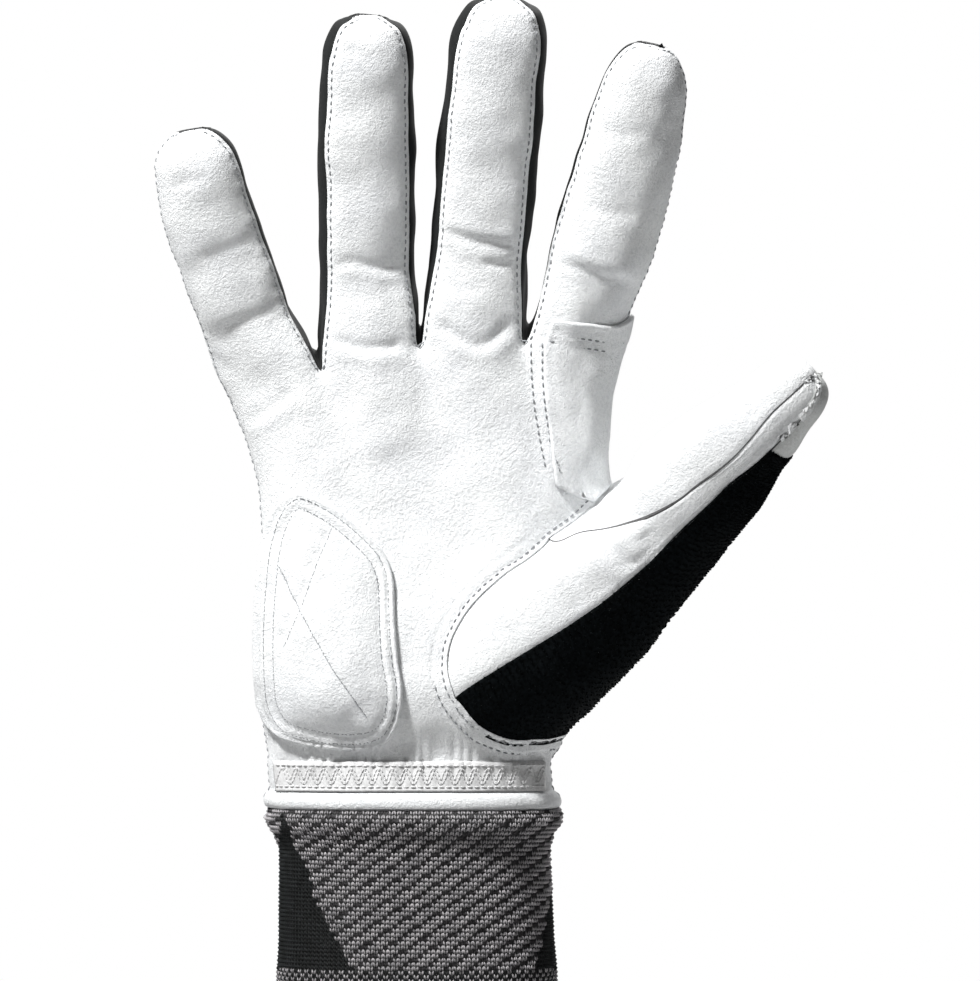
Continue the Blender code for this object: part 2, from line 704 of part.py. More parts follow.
def close_thumb_tip(surface, below, frame, counts, names):
    """Rounds the thumb's end over and closes it on one point."""
    centre, axis, upward, forward = frame
    section = THUMB_SECTIONS[-1]
    reach = THUMB_TIP * THUMB_LENGTH
    for angle in TIP_ANGLES:
        turn = math.radians(angle)
        place = (centre + axis * reach * math.cos(turn), axis, upward, forward)
        ring = thumb_ring(place, section, math.sin(turn) ** TIP_ROUNDNESS, thumb_angles(section, counts))
        above = [surface.point(*p) for p in ring]
        band_faces(surface, below, above, names)
        below = above
    tip = surface.point(*(centre + axis * reach))
    for column, name in enumerate(names):
        surface.face((below[(column + 1) % len(below)], below[column], tip), name)


def band_faces(surface, below, above, names):
    """Faces between two rings, where the ring runs clockwise seen from the tip."""
    for column, name in enumerate(names):
        after = (column + 1) % len(below)
        surface.face((below[after], below[column], above[column], above[after]), name)


def paint(obj, name):
    material = bpy.data.materials.get(name)
    if material is None:
        material = bpy.data.materials.new(name)
        material.use_nodes = True
        shader = material.node_tree.nodes["Principled BSDF"]
        shader.inputs["Base Color"].default_value = (*PAINTS[name].colour, 1.0)
        shader.inputs["Roughness"].default_value = PAINTS[name].roughness
        shader.inputs["Metallic"].default_value = 0.0
    obj.data.materials.append(material)


def add_object(name, points, faces, material):
    mesh = bpy.data.meshes.new(name)
    mesh.from_pydata([tuple(p) for p in points], [], [tuple(f) for f in faces])
    mesh.shade_smooth()
    obj = bpy.data.objects.new(name, mesh)
    bpy.context.scene.collection.objects.link(obj)
    paint(obj, material)
    return obj


def boundary_edges(faces):
    """Directed edges that only one face uses."""
    edges = {}
    for face in faces:
        for i in range(len(face)):
            edges[(face[i - 1], face[i])] = face
    return {edge: face for edge, face in edges.items() if (edge[1], edge[0]) not in edges}


def trimmed(points, faces, amount):
    """Points with the outline of the faces drawn in by amount, to leave a seam gap."""
    inward = {}
    for (first, last), face in boundary_edges(faces).items():
        corners = [points[c] for c in face]
        normal = sum(np.cross(corners[i - 1], corners[i]) for i in range(len(corners)))
        direction = np.cross(normal, points[last] - points[first])
        direction /= np.linalg.norm(direction)
        for corner in (first, last):
            inward.setdefault(corner, []).append(direction)
    moved = dict(enumerate(points))
    for corner, directions in inward.items():
        total = sum(directions)
        length = np.linalg.norm(total)
        moved[corner] = points[corner] + total / length * min(2.0 / length, MITRE_LIMIT) * amount
    return moved


def split(face):
    """A face as triangles, always along the diagonal from its first corner."""
    return [(face[0], face[i], face[i + 1]) for i in range(1, len(face) - 1)]


def shell(name, surface, normals, faces, outer, inner, material):
    """A closed solid between two offsets of some faces of the surface."""
    moved = trimmed(surface.points, faces, SEAM_GAP / 2.0)
    used = sorted({corner for face in faces for corner in face})
    number = {corner: i for i, corner in enumerate(used)}
    count = len(used)
    points = [moved[c] + normals[c] * outer for c in used]
    points += [moved[c] + normals[c] * inner for c in used]
    triangles = [corners for face in faces for corners in split(face)]
    solid = [[number[c] for c in corners] for corners in triangles]
    solid += [[number[c] + count for c in reversed(corners)] for corners in triangles]
    for first, last in boundary_edges(faces):
        a, b = number[first], number[last]
        if a < b:
            solid += [[b, a, b + count], [a, a + count, b + count]]
        else:
            solid += [[b, a, a + count], [b, a + count, b + count]]
    return add_object(name, points, solid, material)


WALLS = {
    "palm_panel": (LEATHER_WALL, "white_leather"),
    "back_panel": (SHELL_WALL, "black_shell"),
    "thumb_pad_panel": (LEATHER_WALL, "white_leather"),
    "thumb_side_panel": (LEATHER_WALL, "white_leather"),
    "thumb_terry_back": (TERRY_WALL, "black_terry"),
    "thumb_tip_patch": (LEATHER_WALL, "white_leather"),
}


def build_panels(surface, normals):
    """One thin solid for each panel of the hand surface."""
    for name in sorted(set(surface.panels)):
        wall, material = WALLS.get(name, (GUSSET_WALL, "black_gusset"))
        faces = [f for f, panel in zip(surface.faces, surface.panels) if panel == name]
        shell(name, surface, normals, faces, 0.0, -wall, material)


def build_elastic(surface, normals, rows):
    """The elastic tape sewn round the palm side of the wrist, on the palm panel."""
    lower, upper = rows[1], rows[2]
    faces = [
        (lower.front[c], lower.front[c + 1], upper.front[c + 1], upper.front[c])
        for c in range(COLUMNS)
    ]
    shell("wrist_elastic", surface, normals, faces, SEAM_GAP + ELASTIC_WALL, SEAM_GAP, "white_elastic")


def front_tree(surface):
    """A search tree of the white front panel's outer faces."""
    faces = [f for f, panel in zip(surface.faces, surface.panels) if panel == "palm_panel"]
    return BVHTree.FromPolygons([Vector(p) for p in surface.points], faces)


def on_front(tree, x, z):
    """The point of the front panel that is seen at x and z from the front."""
    start = Vector((x, -10.0 * PALM_DEPTH, z))
    place, _, _, _ = tree.ray_cast(start, Vector((0.0, 1.0, 0.0)))
    return None if place is None else np.array(place)


def patch_outline(rows, count):
    """Points evenly spaced round a patch's outline, seen from the front."""
    corners = [(palm_x(row.right), palm_z(row.z)) for row in rows]
    corners += [(palm_x(row.left), palm_z(row.z)) for row in reversed(rows)]
    corners = np.array([*corners, corners[0]])
    run = np.concatenate([[0.0], np.cumsum(np.linalg.norm(np.diff(corners, axis=0), axis=1))])
    places = np.arange(count) * run[-1] / count
    return np.column_stack([np.interp(places, run, corners[:, k]) for k in range(2)])


def front_normal(x, z, step):
    """Outward normal of the palm's front at a point seen from the front."""
    across = (palm_depth(x + step, z, True) - palm_depth(x - step, z, True)) / (2.0 * step)
    along = (palm_depth(x, z + step, True) - palm_depth(x, z - step, True)) / (2.0 * step)
    normal = np.array((across, -1.0, along))
    return normal / np.linalg.norm(normal)


def build_heel_pad(tree):
    """The padded patch, in rings from its outline to its middle, thinner at its edge."""
    outline = patch_outline(HEEL_PAD_ROWS, HEEL_PAD_SIDES)
    middle = outline.mean(axis=0)
    seen = [middle + share * (p - middle) for share in HEEL_PAD_RINGS for p in outline]
    seen.append(middle)
    count = len(seen)
    lift = [HEEL_PAD_EDGE] * HEEL_PAD_SIDES + [HEEL_PAD_THICKNESS] * (count - HEEL_PAD_SIDES)
    places = [on_front(tree, x, z) for x, z in seen]
    normals = [front_normal(x, z, LEATHER_WALL) for x, z in seen]
    points = [p + n * (HEEL_PAD_GAP + up) for p, n, up in zip(places, normals, lift)]
    points += [p + n * HEEL_PAD_GAP for p, n in zip(places, normals)]
    faces = []
    for side in range(HEEL_PAD_SIDES):
        after = (side + 1) % HEEL_PAD_SIDES
        faces.append([side + count, after + count, after, side])
        for ring in range(len(HEEL_PAD_RINGS) - 1):
            a, b = ring * HEEL_PAD_SIDES + side, ring * HEEL_PAD_SIDES + after
            top = [a, b, b + HEEL_PAD_SIDES, a + HEEL_PAD_SIDES]
            faces += [top, [corner + count for corner in reversed(top)]]
        last = (len(HEEL_PAD_RINGS) - 1) * HEEL_PAD_SIDES
        top = [last + side, last + after, count - 1]
        faces += [top, [corner + count for corner in reversed(top)]]
    return add_object("heel_pad", points, faces, "white_leather")


def build_index_patch(surface, normals, rows, index_ring):
    """The thin patch over the index finger's root, down to the web beside the thumb."""
    lines = [[*row.front[INDEX_PATCH_COLUMN:], row.radial] for row in rows[HOLE_TOP_ROW:]]
    first = INDEX_PATCH_COLUMN - (len(FINGERS) - 1) * FINGER_COLUMNS
    lines.append(index_ring[first:FINGER_COLUMNS + 2])
    web, above = lines[0], lines[1]
    faces = [(web[1], above[1], above[0])]
    faces += [(web[c], web[c + 1], above[c + 1], above[c]) for c in range(1, len(web) - 1)]
    for below, above in zip(lines[1:], lines[2:]):
        faces += [(below[c], below[c + 1], above[c + 1], above[c]) for c in range(len(below) - 1)]
    outer = SEAM_GAP + INDEX_PATCH_THICKNESS
    shell("index_patch", surface, normals, faces, outer, SEAM_GAP, "white_leather")


def cuff_rings():
    """(z, half width, half depth, middle x) of the cuff's outer sections."""
    seam = PALM_ROWS[0]
    top_width = palm_x(seam.right_x - seam.left_x) / 2.0
    top_depth = PALM_DEPTH * PALM_DEPTHS[0].front
    middle = palm_x(seam.right_x + seam.left_x) / 2.0
    rings = [
        (0.0, CUFF_WIDTH / 2.0 - HEM_SWELL, CUFF_DEPTH / 2.0 - HEM_SWELL, 0.0),
        (0.2 * HEM_HEIGHT, CUFF_WIDTH / 2.0 + HEM_SWELL, CUFF_DEPTH / 2.0 + HEM_SWELL, 0.0),
        (HEM_HEIGHT, CUFF_WIDTH / 2.0 + HEM_SWELL, CUFF_DEPTH / 2.0 + HEM_SWELL, 0.0),
    ]
    for section in CUFF_SECTIONS:
        z = HEM_HEIGHT + section.z * (CUFF_LENGTH - HEM_HEIGHT)
        rings.append((z, section.width * CUFF_WIDTH / 2.0, section.width * CUFF_DEPTH / 2.0,
                      section.z * middle))
    rings.append((CUFF_LENGTH, top_width, top_depth, middle))
    return rings


def build_cuff():
    """The knitted cuff: a tube with a hem at its mouth that meets the palm above."""
    rings = cuff_rings()
    points, faces = [], []
    for offset in (0.0, CUFF_WALL):
        for z, half_width, half_depth, middle in rings:
            for side in range(CUFF_SIDES):
                across, ahead = rounded(2.0 * math.pi * side / CUFF_SIDES, PALM_ROUNDNESS)
                points.append((middle + (half_width - offset) * across, -(half_depth - offset) * ahead, z))
    count = len(rings) * CUFF_SIDES
    for ring in range(len(rings) - 1):
        for side in range(CUFF_SIDES):
            after = (side + 1) % CUFF_SIDES
            a, b = ring * CUFF_SIDES + side, ring * CUFF_SIDES + after
            faces.append((b, a, a + CUFF_SIDES, b + CUFF_SIDES))
            faces.append((a + count, b + count, b + CUFF_SIDES + count, a + CUFF_SIDES + count))
    last = (len(rings) - 1) * CUFF_SIDES
    for side in range(CUFF_SIDES):
        after = (side + 1) % CUFF_SIDES
        faces.append((side, after, after + count, side + count))
        faces.append((last + after, last + side, last + side + count, last + after + count))
    return add_object("knit_cuff", points, faces, "grey_knit")


def main():
    clear_scene()
    surface = Surface()
    rows = build_palm(surface)
    index_ring = build_fingers(surface, rows)
    build_thumb(surface, rows)
    normals = surface.normals()
    build_panels(surface, normals)
    build_elastic(surface, normals, rows)
    tree = front_tree(surface)
    build_heel_pad(tree)
    build_index_patch(surface, normals, rows, index_ring)
    build_cuff()


main()
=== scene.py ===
"""Looks of the right-hand cross-country ski glove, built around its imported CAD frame.

The first half repeats the source's hand surface: a palm tube that splits into four finger
tubes, with the thumb set into a hole on its radial side. The second half refines that
surface, gives it creases, gathers and seams, and cuts each sewn panel from it.
"""

import json
import math
from collections import namedtuple

import bmesh
import bpy
import numpy as np
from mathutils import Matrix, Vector, noise
from mathutils.bvhtree import BVHTree
from mathutils.kdtree import KDTree

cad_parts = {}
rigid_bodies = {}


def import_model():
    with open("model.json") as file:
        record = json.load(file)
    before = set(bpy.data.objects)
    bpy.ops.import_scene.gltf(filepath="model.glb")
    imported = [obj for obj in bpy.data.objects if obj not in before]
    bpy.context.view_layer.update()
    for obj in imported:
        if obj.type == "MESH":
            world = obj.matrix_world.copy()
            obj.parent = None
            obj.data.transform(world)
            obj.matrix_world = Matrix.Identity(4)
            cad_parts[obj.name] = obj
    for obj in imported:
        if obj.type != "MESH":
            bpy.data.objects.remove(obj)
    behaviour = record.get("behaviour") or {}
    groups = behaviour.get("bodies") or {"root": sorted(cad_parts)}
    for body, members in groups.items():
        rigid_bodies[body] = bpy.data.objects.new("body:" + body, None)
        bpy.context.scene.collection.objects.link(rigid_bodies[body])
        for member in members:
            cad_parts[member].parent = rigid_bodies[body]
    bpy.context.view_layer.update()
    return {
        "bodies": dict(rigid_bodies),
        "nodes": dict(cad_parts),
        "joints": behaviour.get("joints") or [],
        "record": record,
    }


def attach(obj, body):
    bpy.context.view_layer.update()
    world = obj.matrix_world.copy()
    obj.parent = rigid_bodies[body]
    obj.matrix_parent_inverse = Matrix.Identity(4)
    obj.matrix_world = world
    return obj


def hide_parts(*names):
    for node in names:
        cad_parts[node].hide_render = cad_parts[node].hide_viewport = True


# Driving dimensions, in metres.
CUFF_LENGTH = 0.0467
CUFF_WIDTH = 0.0700
CUFF_DEPTH = 0.0520
CUFF_WALL = 0.0022
HEM_HEIGHT = 0.0050
HEM_SWELL = 0.0006

SEAM_GAP = 0.0003

PALM_LENGTH = 0.1170
PALM_WIDTH = 0.0900
PALM_DEPTH = 0.0450
THENAR_SWELL = 0.0065
HEEL_SWELL = 0.0042
PALM_HOLLOW = 0.0035
CROTCH_RISE = 0.0060
CROTCH_FLOOR = 0.0010

FINGER_WIDTH = 0.0250
FINGER_DEPTH = 0.0215
LITTLE_LENGTH = 0.0645
RING_LENGTH = 0.0858
MIDDLE_LENGTH = 0.0872
INDEX_LENGTH = 0.0776
CREASE_DEPTH = 0.0012

THUMB_LENGTH = 0.0960
THUMB_WIDTH = 0.0330
THUMB_DEPTH = 0.0290

LEATHER_WALL = 0.0014
SHELL_WALL = 0.0016
GUSSET_WALL = 0.0013
TERRY_WALL = 0.0019

# Grid counts and shape exponents.
COLUMNS = 16
FINGER_COLUMNS = 4
SEAM_COLUMN = 12
INDEX_PATCH_COLUMN = 13
BACK_SEAM_COLUMN = 13
HOLE_FOOT_ROW = 4
HOLE_TOP_ROW = 9
PALM_ROUNDNESS = 2.4
FINGER_ROUNDNESS = 2.25
EDGE_SHARE = 0.035

Row = namedtuple("Row", "left_x left_z seam_x seam_z right_x right_z back_seam_x back_seam_z")

# Palm rows from the cuff seam to the finger roots. x is a share of PALM_WIDTH from the
# wrist's middle, z a share of PALM_LENGTH above the cuff seam. The seam columns run down
# from the middle-index crotch and along the edge of the thumb hole.
PALM_ROWS = [
    Row(-0.422, 0.000, 0.167, 0.000, 0.402, 0.000, 0.250, 0.000),
    Row(-0.419, 0.034, 0.156, 0.034, 0.386, 0.034, 0.245, 0.034),
    Row(-0.419, 0.100, 0.144, 0.100, 0.380, 0.100, 0.245, 0.100),
    Row(-0.432, 0.166, 0.125, 0.171, 0.400, 0.133, 0.283, 0.155),
    Row(-0.444, 0.231, 0.108, 0.241, 0.420, 0.165, 0.322, 0.209),
    Row(-0.456, 0.299, 0.086, 0.299, 0.444, 0.290, 0.344, 0.308),
    Row(-0.456, 0.376, 0.102, 0.376, 0.456, 0.390, 0.372, 0.402),
    Row(-0.451, 0.453, 0.172, 0.451, 0.467, 0.490, 0.400, 0.491),
    Row(-0.444, 0.538, 0.267, 0.515, 0.489, 0.590, 0.428, 0.581),
    Row(-0.438, 0.624, 0.374, 0.584, 0.539, 0.695, 0.456, 0.662),
    Row(-0.452, 0.709, 0.352, 0.692, 0.531, 0.772, 0.440, 0.745),
    Row(-0.478, 0.786, 0.331, 0.803, 0.533, 0.850, 0.425, 0.840),
    Row(-0.511, 0.859, 0.314, 0.910, 0.550, 0.925, 0.405, 0.945),
    Row(-0.550, 0.919, 0.303, 1.004, 0.577, 0.996, 0.378, 1.055),
]

HolePoint = namedtuple("HolePoint", "x z")

# The foot and the top of the thumb hole, from the column after the front seam, over the
# radial side, to the column before the back seam. Shares as in PALM_ROWS.
HOLE_FOOT = [
    HolePoint(0.164, 0.187),
    HolePoint(0.236, 0.156),
    HolePoint(0.320, 0.148),
    HolePoint(0.384, 0.154),
    HolePoint(0.420, 0.165),
    HolePoint(0.398, 0.178),
    HolePoint(0.372, 0.188),
    HolePoint(0.347, 0.197),
]
HOLE_TOP = [
    HolePoint(0.411, 0.602),
    HolePoint(0.448, 0.622),
    HolePoint(0.481, 0.645),
    HolePoint(0.514, 0.672),
    HolePoint(0.539, 0.695),
    HolePoint(0.524, 0.697),
    HolePoint(0.503, 0.689),
    HolePoint(0.481, 0.677),
]

Depth = namedtuple("Depth", "z front back middle")

# Half depths of the palm tube in front of and behind its middle surface, and where that
# surface lies. z is a share of PALM_LENGTH, the others are shares of PALM_DEPTH.
PALM_DEPTHS = [
    Depth(0.00, 0.556, 0.556, 0.000),
    Depth(0.06, 0.456, 0.511, 0.000),
    Depth(0.10, 0.444, 0.500, 0.000),
    Depth(0.17, 0.478, 0.478, 0.000),
    Depth(0.23, 0.511, 0.456, 0.000),
    Depth(0.38, 0.467, 0.411, 0.010),
    Depth(0.54, 0.433, 0.367, 0.025),
    Depth(0.69, 0.384, 0.329, 0.045),
    Depth(0.86, 0.335, 0.290, 0.050),
    Depth(1.06, 0.300, 0.250, 0.040),
]

Swell = namedtuple("Swell", "x z radius_x radius_z")

# Where the palm swells or dips. Shares of PALM_WIDTH and PALM_LENGTH.
THENAR = Swell(0.30, 0.33, 0.26, 0.21)
HEEL = Swell(-0.27, 0.32, 0.22, 0.20)
HOLLOW = Swell(0.02, 0.58, 0.24, 0.22)

Crotch = namedtuple("Crotch", "x z")

# Where the front edges of two neighbouring fingers meet. Shares as in PALM_ROWS.
CROTCHES = [Crotch(-0.269, 0.945), Crotch(0.009, 0.997), Crotch(0.303, 1.004)]
CROTCH_DEPTH_SHARE = 0.62
SCALLOP_ROWS = {11: 0.25, 12: 0.60, 13: 1.00}

Finger = namedtuple(
    "Finger", "name length size taper splay_root splay_tip lean_root lean_tip left_edge right_edge"
)

# size is a share of FINGER_WIDTH and FINGER_DEPTH, and taper the share of it lost at the
# tip. splay turns the axis to the ulnar side and lean turns it forwards, in degrees. The
# edges are where the white front panel ends, in degrees forwards of the finger's side.
FINGERS = [
    Finger("little", LITTLE_LENGTH, 0.93, 0.01, 29, 8, 7, 16, 30, 24),
    Finger("ring", RING_LENGTH, 0.99, 0.00, 2, -2, 8, 14, 39, 32),
    Finger("middle", MIDDLE_LENGTH, 1.03, 0.00, -4, -7, 8, 13, 37, 37),
    Finger("index", INDEX_LENGTH, 1.10, 0.18, -21, -10, 8, 17, 17, 30),
]
BACK_EDGE = 30

FingerSection = namedtuple("FingerSection", "along width crease")

# Sections of a finger between its root and where its tip starts to round. along is a share
# of that stretch, width of the finger's width and crease of CREASE_DEPTH.
FINGER_SECTIONS = [
    FingerSection(0.10, 0.955, 0.0),
    FingerSection(0.19, 0.955, 0.5),
    FingerSection(0.27, 0.96, 1.0),
    FingerSection(0.35, 0.98, 0.2),
    FingerSection(0.46, 1.00, 0.0),
    FingerSection(0.58, 1.00, 0.4),
    FingerSection(0.70, 1.01, 0.0),
    FingerSection(0.82, 0.99, 0.0),
    FingerSection(0.92, 0.97, 0.0),
    FingerSection(1.00, 0.95, 0.0),
]
TIP_ANGLES = [66, 45, 27, 12]
FRONT_TIP_RINGS = 4
TIP_ROUNDNESS = 0.75
ROOT_BLEND = 0.34

ThumbSection = namedtuple("ThumbSection", "along x y z width depth front_seam black_seam")

# Thumb sections from the middle of its hole to where its tip starts to round. x, y and z
# are the axis, as shares of THUMB_LENGTH from the palm's cuff seam, width and depth are
# shares of the thumb's, and the seams are angles forwards of its lower edge, in degrees.
THUMB_SECTIONS = [
    ThumbSection(0.00, 0.330, -0.080, 0.500, 1.16, 1.16, 118, 62),
    ThumbSection(0.10, 0.420, -0.105, 0.554, 1.11, 1.14, 116, 66),
    ThumbSection(0.20, 0.508, -0.135, 0.618, 1.13, 1.10, 114, 70),
    ThumbSection(0.30, 0.588, -0.165, 0.688, 1.12, 1.06, 111, 72),
    ThumbSection(0.42, 0.654, -0.195, 0.764, 1.12, 1.02, 101, 72),
    ThumbSection(0.54, 0.715, -0.222, 0.832, 1.00, 0.98, 93, 72),
    ThumbSection(0.66, 0.760, -0.243, 0.880, 0.95, 0.95, 90, 71),
    ThumbSection(0.76, 0.804, -0.262, 0.923, 0.89, 0.93, 87, 70),
    ThumbSection(0.86, 0.850, -0.282, 0.970, 0.79, 0.91, 84, 62),
    ThumbSection(0.93, 0.900, -0.300, 1.014, 0.70, 0.87, 86, 58),
    ThumbSection(1.00, 0.950, -0.317, 1.060, 0.60, 0.80, 90, 52),
]
THUMB_BACK_SEAMS = (262, 292)
THUMB_TIP = 0.135
THUMB_BLEND_END = 0.38
THUMB_SHEAR_END = 0.66
TERRY_LAST_SECTION = 9

CuffSection = namedtuple("CuffSection", "z width")

# Outer outline of the knitted cuff above its hem. z is a share of CUFF_LENGTH, width of
# CUFF_WIDTH. The last row meets the palm tube, so its width comes from PALM_ROWS.
CUFF_SECTIONS = [
    CuffSection(0.20, 1.000),
    CuffSection(0.35, 0.996),
    CuffSection(0.50, 0.990),
    CuffSection(0.64, 0.984),
    CuffSection(0.76, 0.983),
    CuffSection(0.84, 1.018),
    CuffSection(0.90, 1.068),
    CuffSection(0.95, 1.082),
]


def smoothstep(value):
    value = min(max(value, 0.0), 1.0)
    return value * value * (3.0 - 2.0 * value)


def rounded(angle, exponent):
    """Cosine and sine of an angle on a superellipse."""
    cosine, sine = math.cos(angle), math.sin(angle)
    return (
        math.copysign(abs(cosine) ** (2.0 / exponent), cosine),
        math.copysign(abs(sine) ** (2.0 / exponent), sine),
    )


def column_of(rows, name):
    return [getattr(row, name) for row in rows]


def palm_x(share):
    return share * PALM_WIDTH


def palm_z(share):
    return CUFF_LENGTH + SEAM_GAP + share * PALM_LENGTH


def swell(place, x, z):
    """How much of a swelling reaches a point of the palm, 1 at its middle."""
    across = (x / PALM_WIDTH - place.x) / place.radius_x
    along = ((z - palm_z(0.0)) / PALM_LENGTH - place.z) / place.radius_z
    return math.exp(-across * across - along * along)


def palm_depth(x, z, front):
    """y of the palm tube's front or back surface at a point seen from the front."""
    share = (z - palm_z(0.0)) / PALM_LENGTH
    left = palm_x(np.interp(share, column_of(PALM_ROWS, "left_z"), column_of(PALM_ROWS, "left_x")))
    right = palm_x(np.interp(share, column_of(PALM_ROWS, "right_z"), column_of(PALM_ROWS, "right_x")))
    heights = column_of(PALM_DEPTHS, "z")
    middle = PALM_DEPTH * np.interp(share, heights, column_of(PALM_DEPTHS, "middle"))
    across = min(1.0, abs(2.0 * x - left - right) / (right - left))
    bulge = (1.0 - across**PALM_ROUNDNESS) ** (1.0 / PALM_ROUNDNESS)
    if not front:
        return middle + bulge * PALM_DEPTH * np.interp(share, heights, column_of(PALM_DEPTHS, "back"))
    forward = bulge * PALM_DEPTH * np.interp(share, heights, column_of(PALM_DEPTHS, "front"))
    forward += bulge * THENAR_SWELL * swell(THENAR, x, z)
    forward += bulge * HEEL_SWELL * swell(HEEL, x, z)
    forward -= PALM_HOLLOW * swell(HOLLOW, x, z)
    return middle - forward


class Surface:
    """The whole hand surface: shared points, and faces that each belong to a panel."""

    def __init__(self):
        self.points = []
        self.faces = []
        self.panels = []
        self.level = set()
        self.raised = set()

    def point(self, x, y, z):
        self.points.append(np.array((x, y, z), float))
        return len(self.points) - 1

    def face(self, corners, panel):
        self.faces.append(tuple(corners))
        self.panels.append(panel)

    def normals(self):
        """Outward normals of the points, from all the faces around each. Those of the
        level points have no slope, so that walls end flat at the cuff, and those of the
        raised points turn halfway up, so that the crotches keep their wall."""
        total = np.zeros((len(self.points), 3))
        for corners in self.faces:
            ring = [self.points[c] for c in corners]
            normal = sum(np.cross(ring[i - 1], ring[i]) for i in range(len(ring)))
            for corner in corners:
                total[corner] += normal
        total /= np.linalg.norm(total, axis=1)[:, None]
        total[sorted(self.level), 2] = 0.0
        total[sorted(self.raised), 2] += 1.0
        return total / np.linalg.norm(total, axis=1)[:, None]


def spread(first, last, count):
    """count + 1 pairs from first to last, evenly spaced."""
    return [
        tuple(a + (b - a) * step / count for a, b in zip(first, last))
        for step in range(count + 1)
    ]


def edge_inset(row, side):
    """Where a row's front and back edge columns lie, inside its outline."""
    inset = EDGE_SHARE * (row.right_x - row.left_x)
    if side == "left":
        return row.left_x + inset, row.left_z
    return row.right_x - inset, row.right_z


def front_shares(index, row):
    """x and z shares of a row's front columns. In the thumb hole it has fewer."""
    shares = spread(edge_inset(row, "left"), (row.seam_x, row.seam_z), SEAM_COLUMN)
    if index == HOLE_FOOT_ROW:
        return shares + [tuple(p) for p in HOLE_FOOT[: COLUMNS - SEAM_COLUMN]]
    if index == HOLE_TOP_ROW:
        return shares + [tuple(p) for p in HOLE_TOP[: COLUMNS - SEAM_COLUMN]]
    if HOLE_FOOT_ROW < index < HOLE_TOP_ROW:
        return shares
    if index == HOLE_FOOT_ROW - 1:
        below = spread((PALM_ROWS[2].seam_x, PALM_ROWS[2].seam_z), edge_inset(PALM_ROWS[2], "right"), 4)
        above = [tuple(p) for p in HOLE_FOOT[: COLUMNS - SEAM_COLUMN]]
        return shares + [
            ((a[0] + b[0]) / 2, (a[1] + b[1]) / 2) for a, b in zip(below[1:], above)
        ]
    right = spread((row.seam_x, row.seam_z), edge_inset(row, "right"), COLUMNS - SEAM_COLUMN)
    return shares + right[1:]


def back_shares(index, row):
    """x and z shares of a row's back columns, from the ulnar edge."""
    seam = (row.back_seam_x, row.back_seam_z)
    shares = spread(edge_inset(row, "left"), seam, BACK_SEAM_COLUMN)
    beyond = COLUMNS - BACK_SEAM_COLUMN
    if index == HOLE_FOOT_ROW:
        return shares + [tuple(p) for p in reversed(HOLE_FOOT[-beyond:])]
    if index == HOLE_TOP_ROW:
        return shares + [tuple(p) for p in reversed(HOLE_TOP[-beyond:])]
    if HOLE_FOOT_ROW < index < HOLE_TOP_ROW:
        return shares
    return shares + spread(seam, edge_inset(row, "right"), beyond)[1:]


def crotch_share(column):
    """x and z shares of the finger-root row's front column, through the crotches."""
    last = PALM_ROWS[-1]
    stops = [edge_inset(last, "left"), *[tuple(c) for c in CROTCHES], edge_inset(last, "right")]
    finger, step = divmod(column, FINGER_COLUMNS)
    if finger == len(stops) - 1:
        return stops[-1]
    first, after = stops[finger], stops[finger + 1]
    return tuple(a + (b - a) * step / FINGER_COLUMNS for a, b in zip(first, after))


def root_blend(index, column, share):
    """Moves a high row's front column towards the curve through the crotches."""
    weight = SCALLOP_ROWS.get(index, 0.0)
    flat = front_shares(len(PALM_ROWS) - 1, PALM_ROWS[-1])[column]
    target = crotch_share(column)
    return (
        share[0] + weight * (target[0] - flat[0]),
        share[1] + weight * (target[1] - flat[1]),
    )


def scallop(index, column):
    """Share of the front depth left at a column, less at a crotch than on a finger."""
    step = column % FINGER_COLUMNS
    arch = math.sin(math.pi * step / FINGER_COLUMNS)
    inner = 0 < column < COLUMNS
    dip = 1.0 - CROTCH_DEPTH_SHARE
    return 1.0 - SCALLOP_ROWS.get(index, 0.0) * dip * (1.0 - arch) * (1.0 if inner else 0.5)


def root_lean(column):
    """How far a finger's root leans to the ulnar side for each length upwards."""
    middles = [(number + 0.5) * FINGER_COLUMNS for number in range(len(FINGERS))]
    splay = np.interp(column, middles, column_of(FINGERS, "splay_root"))
    return math.tan(math.radians(splay))


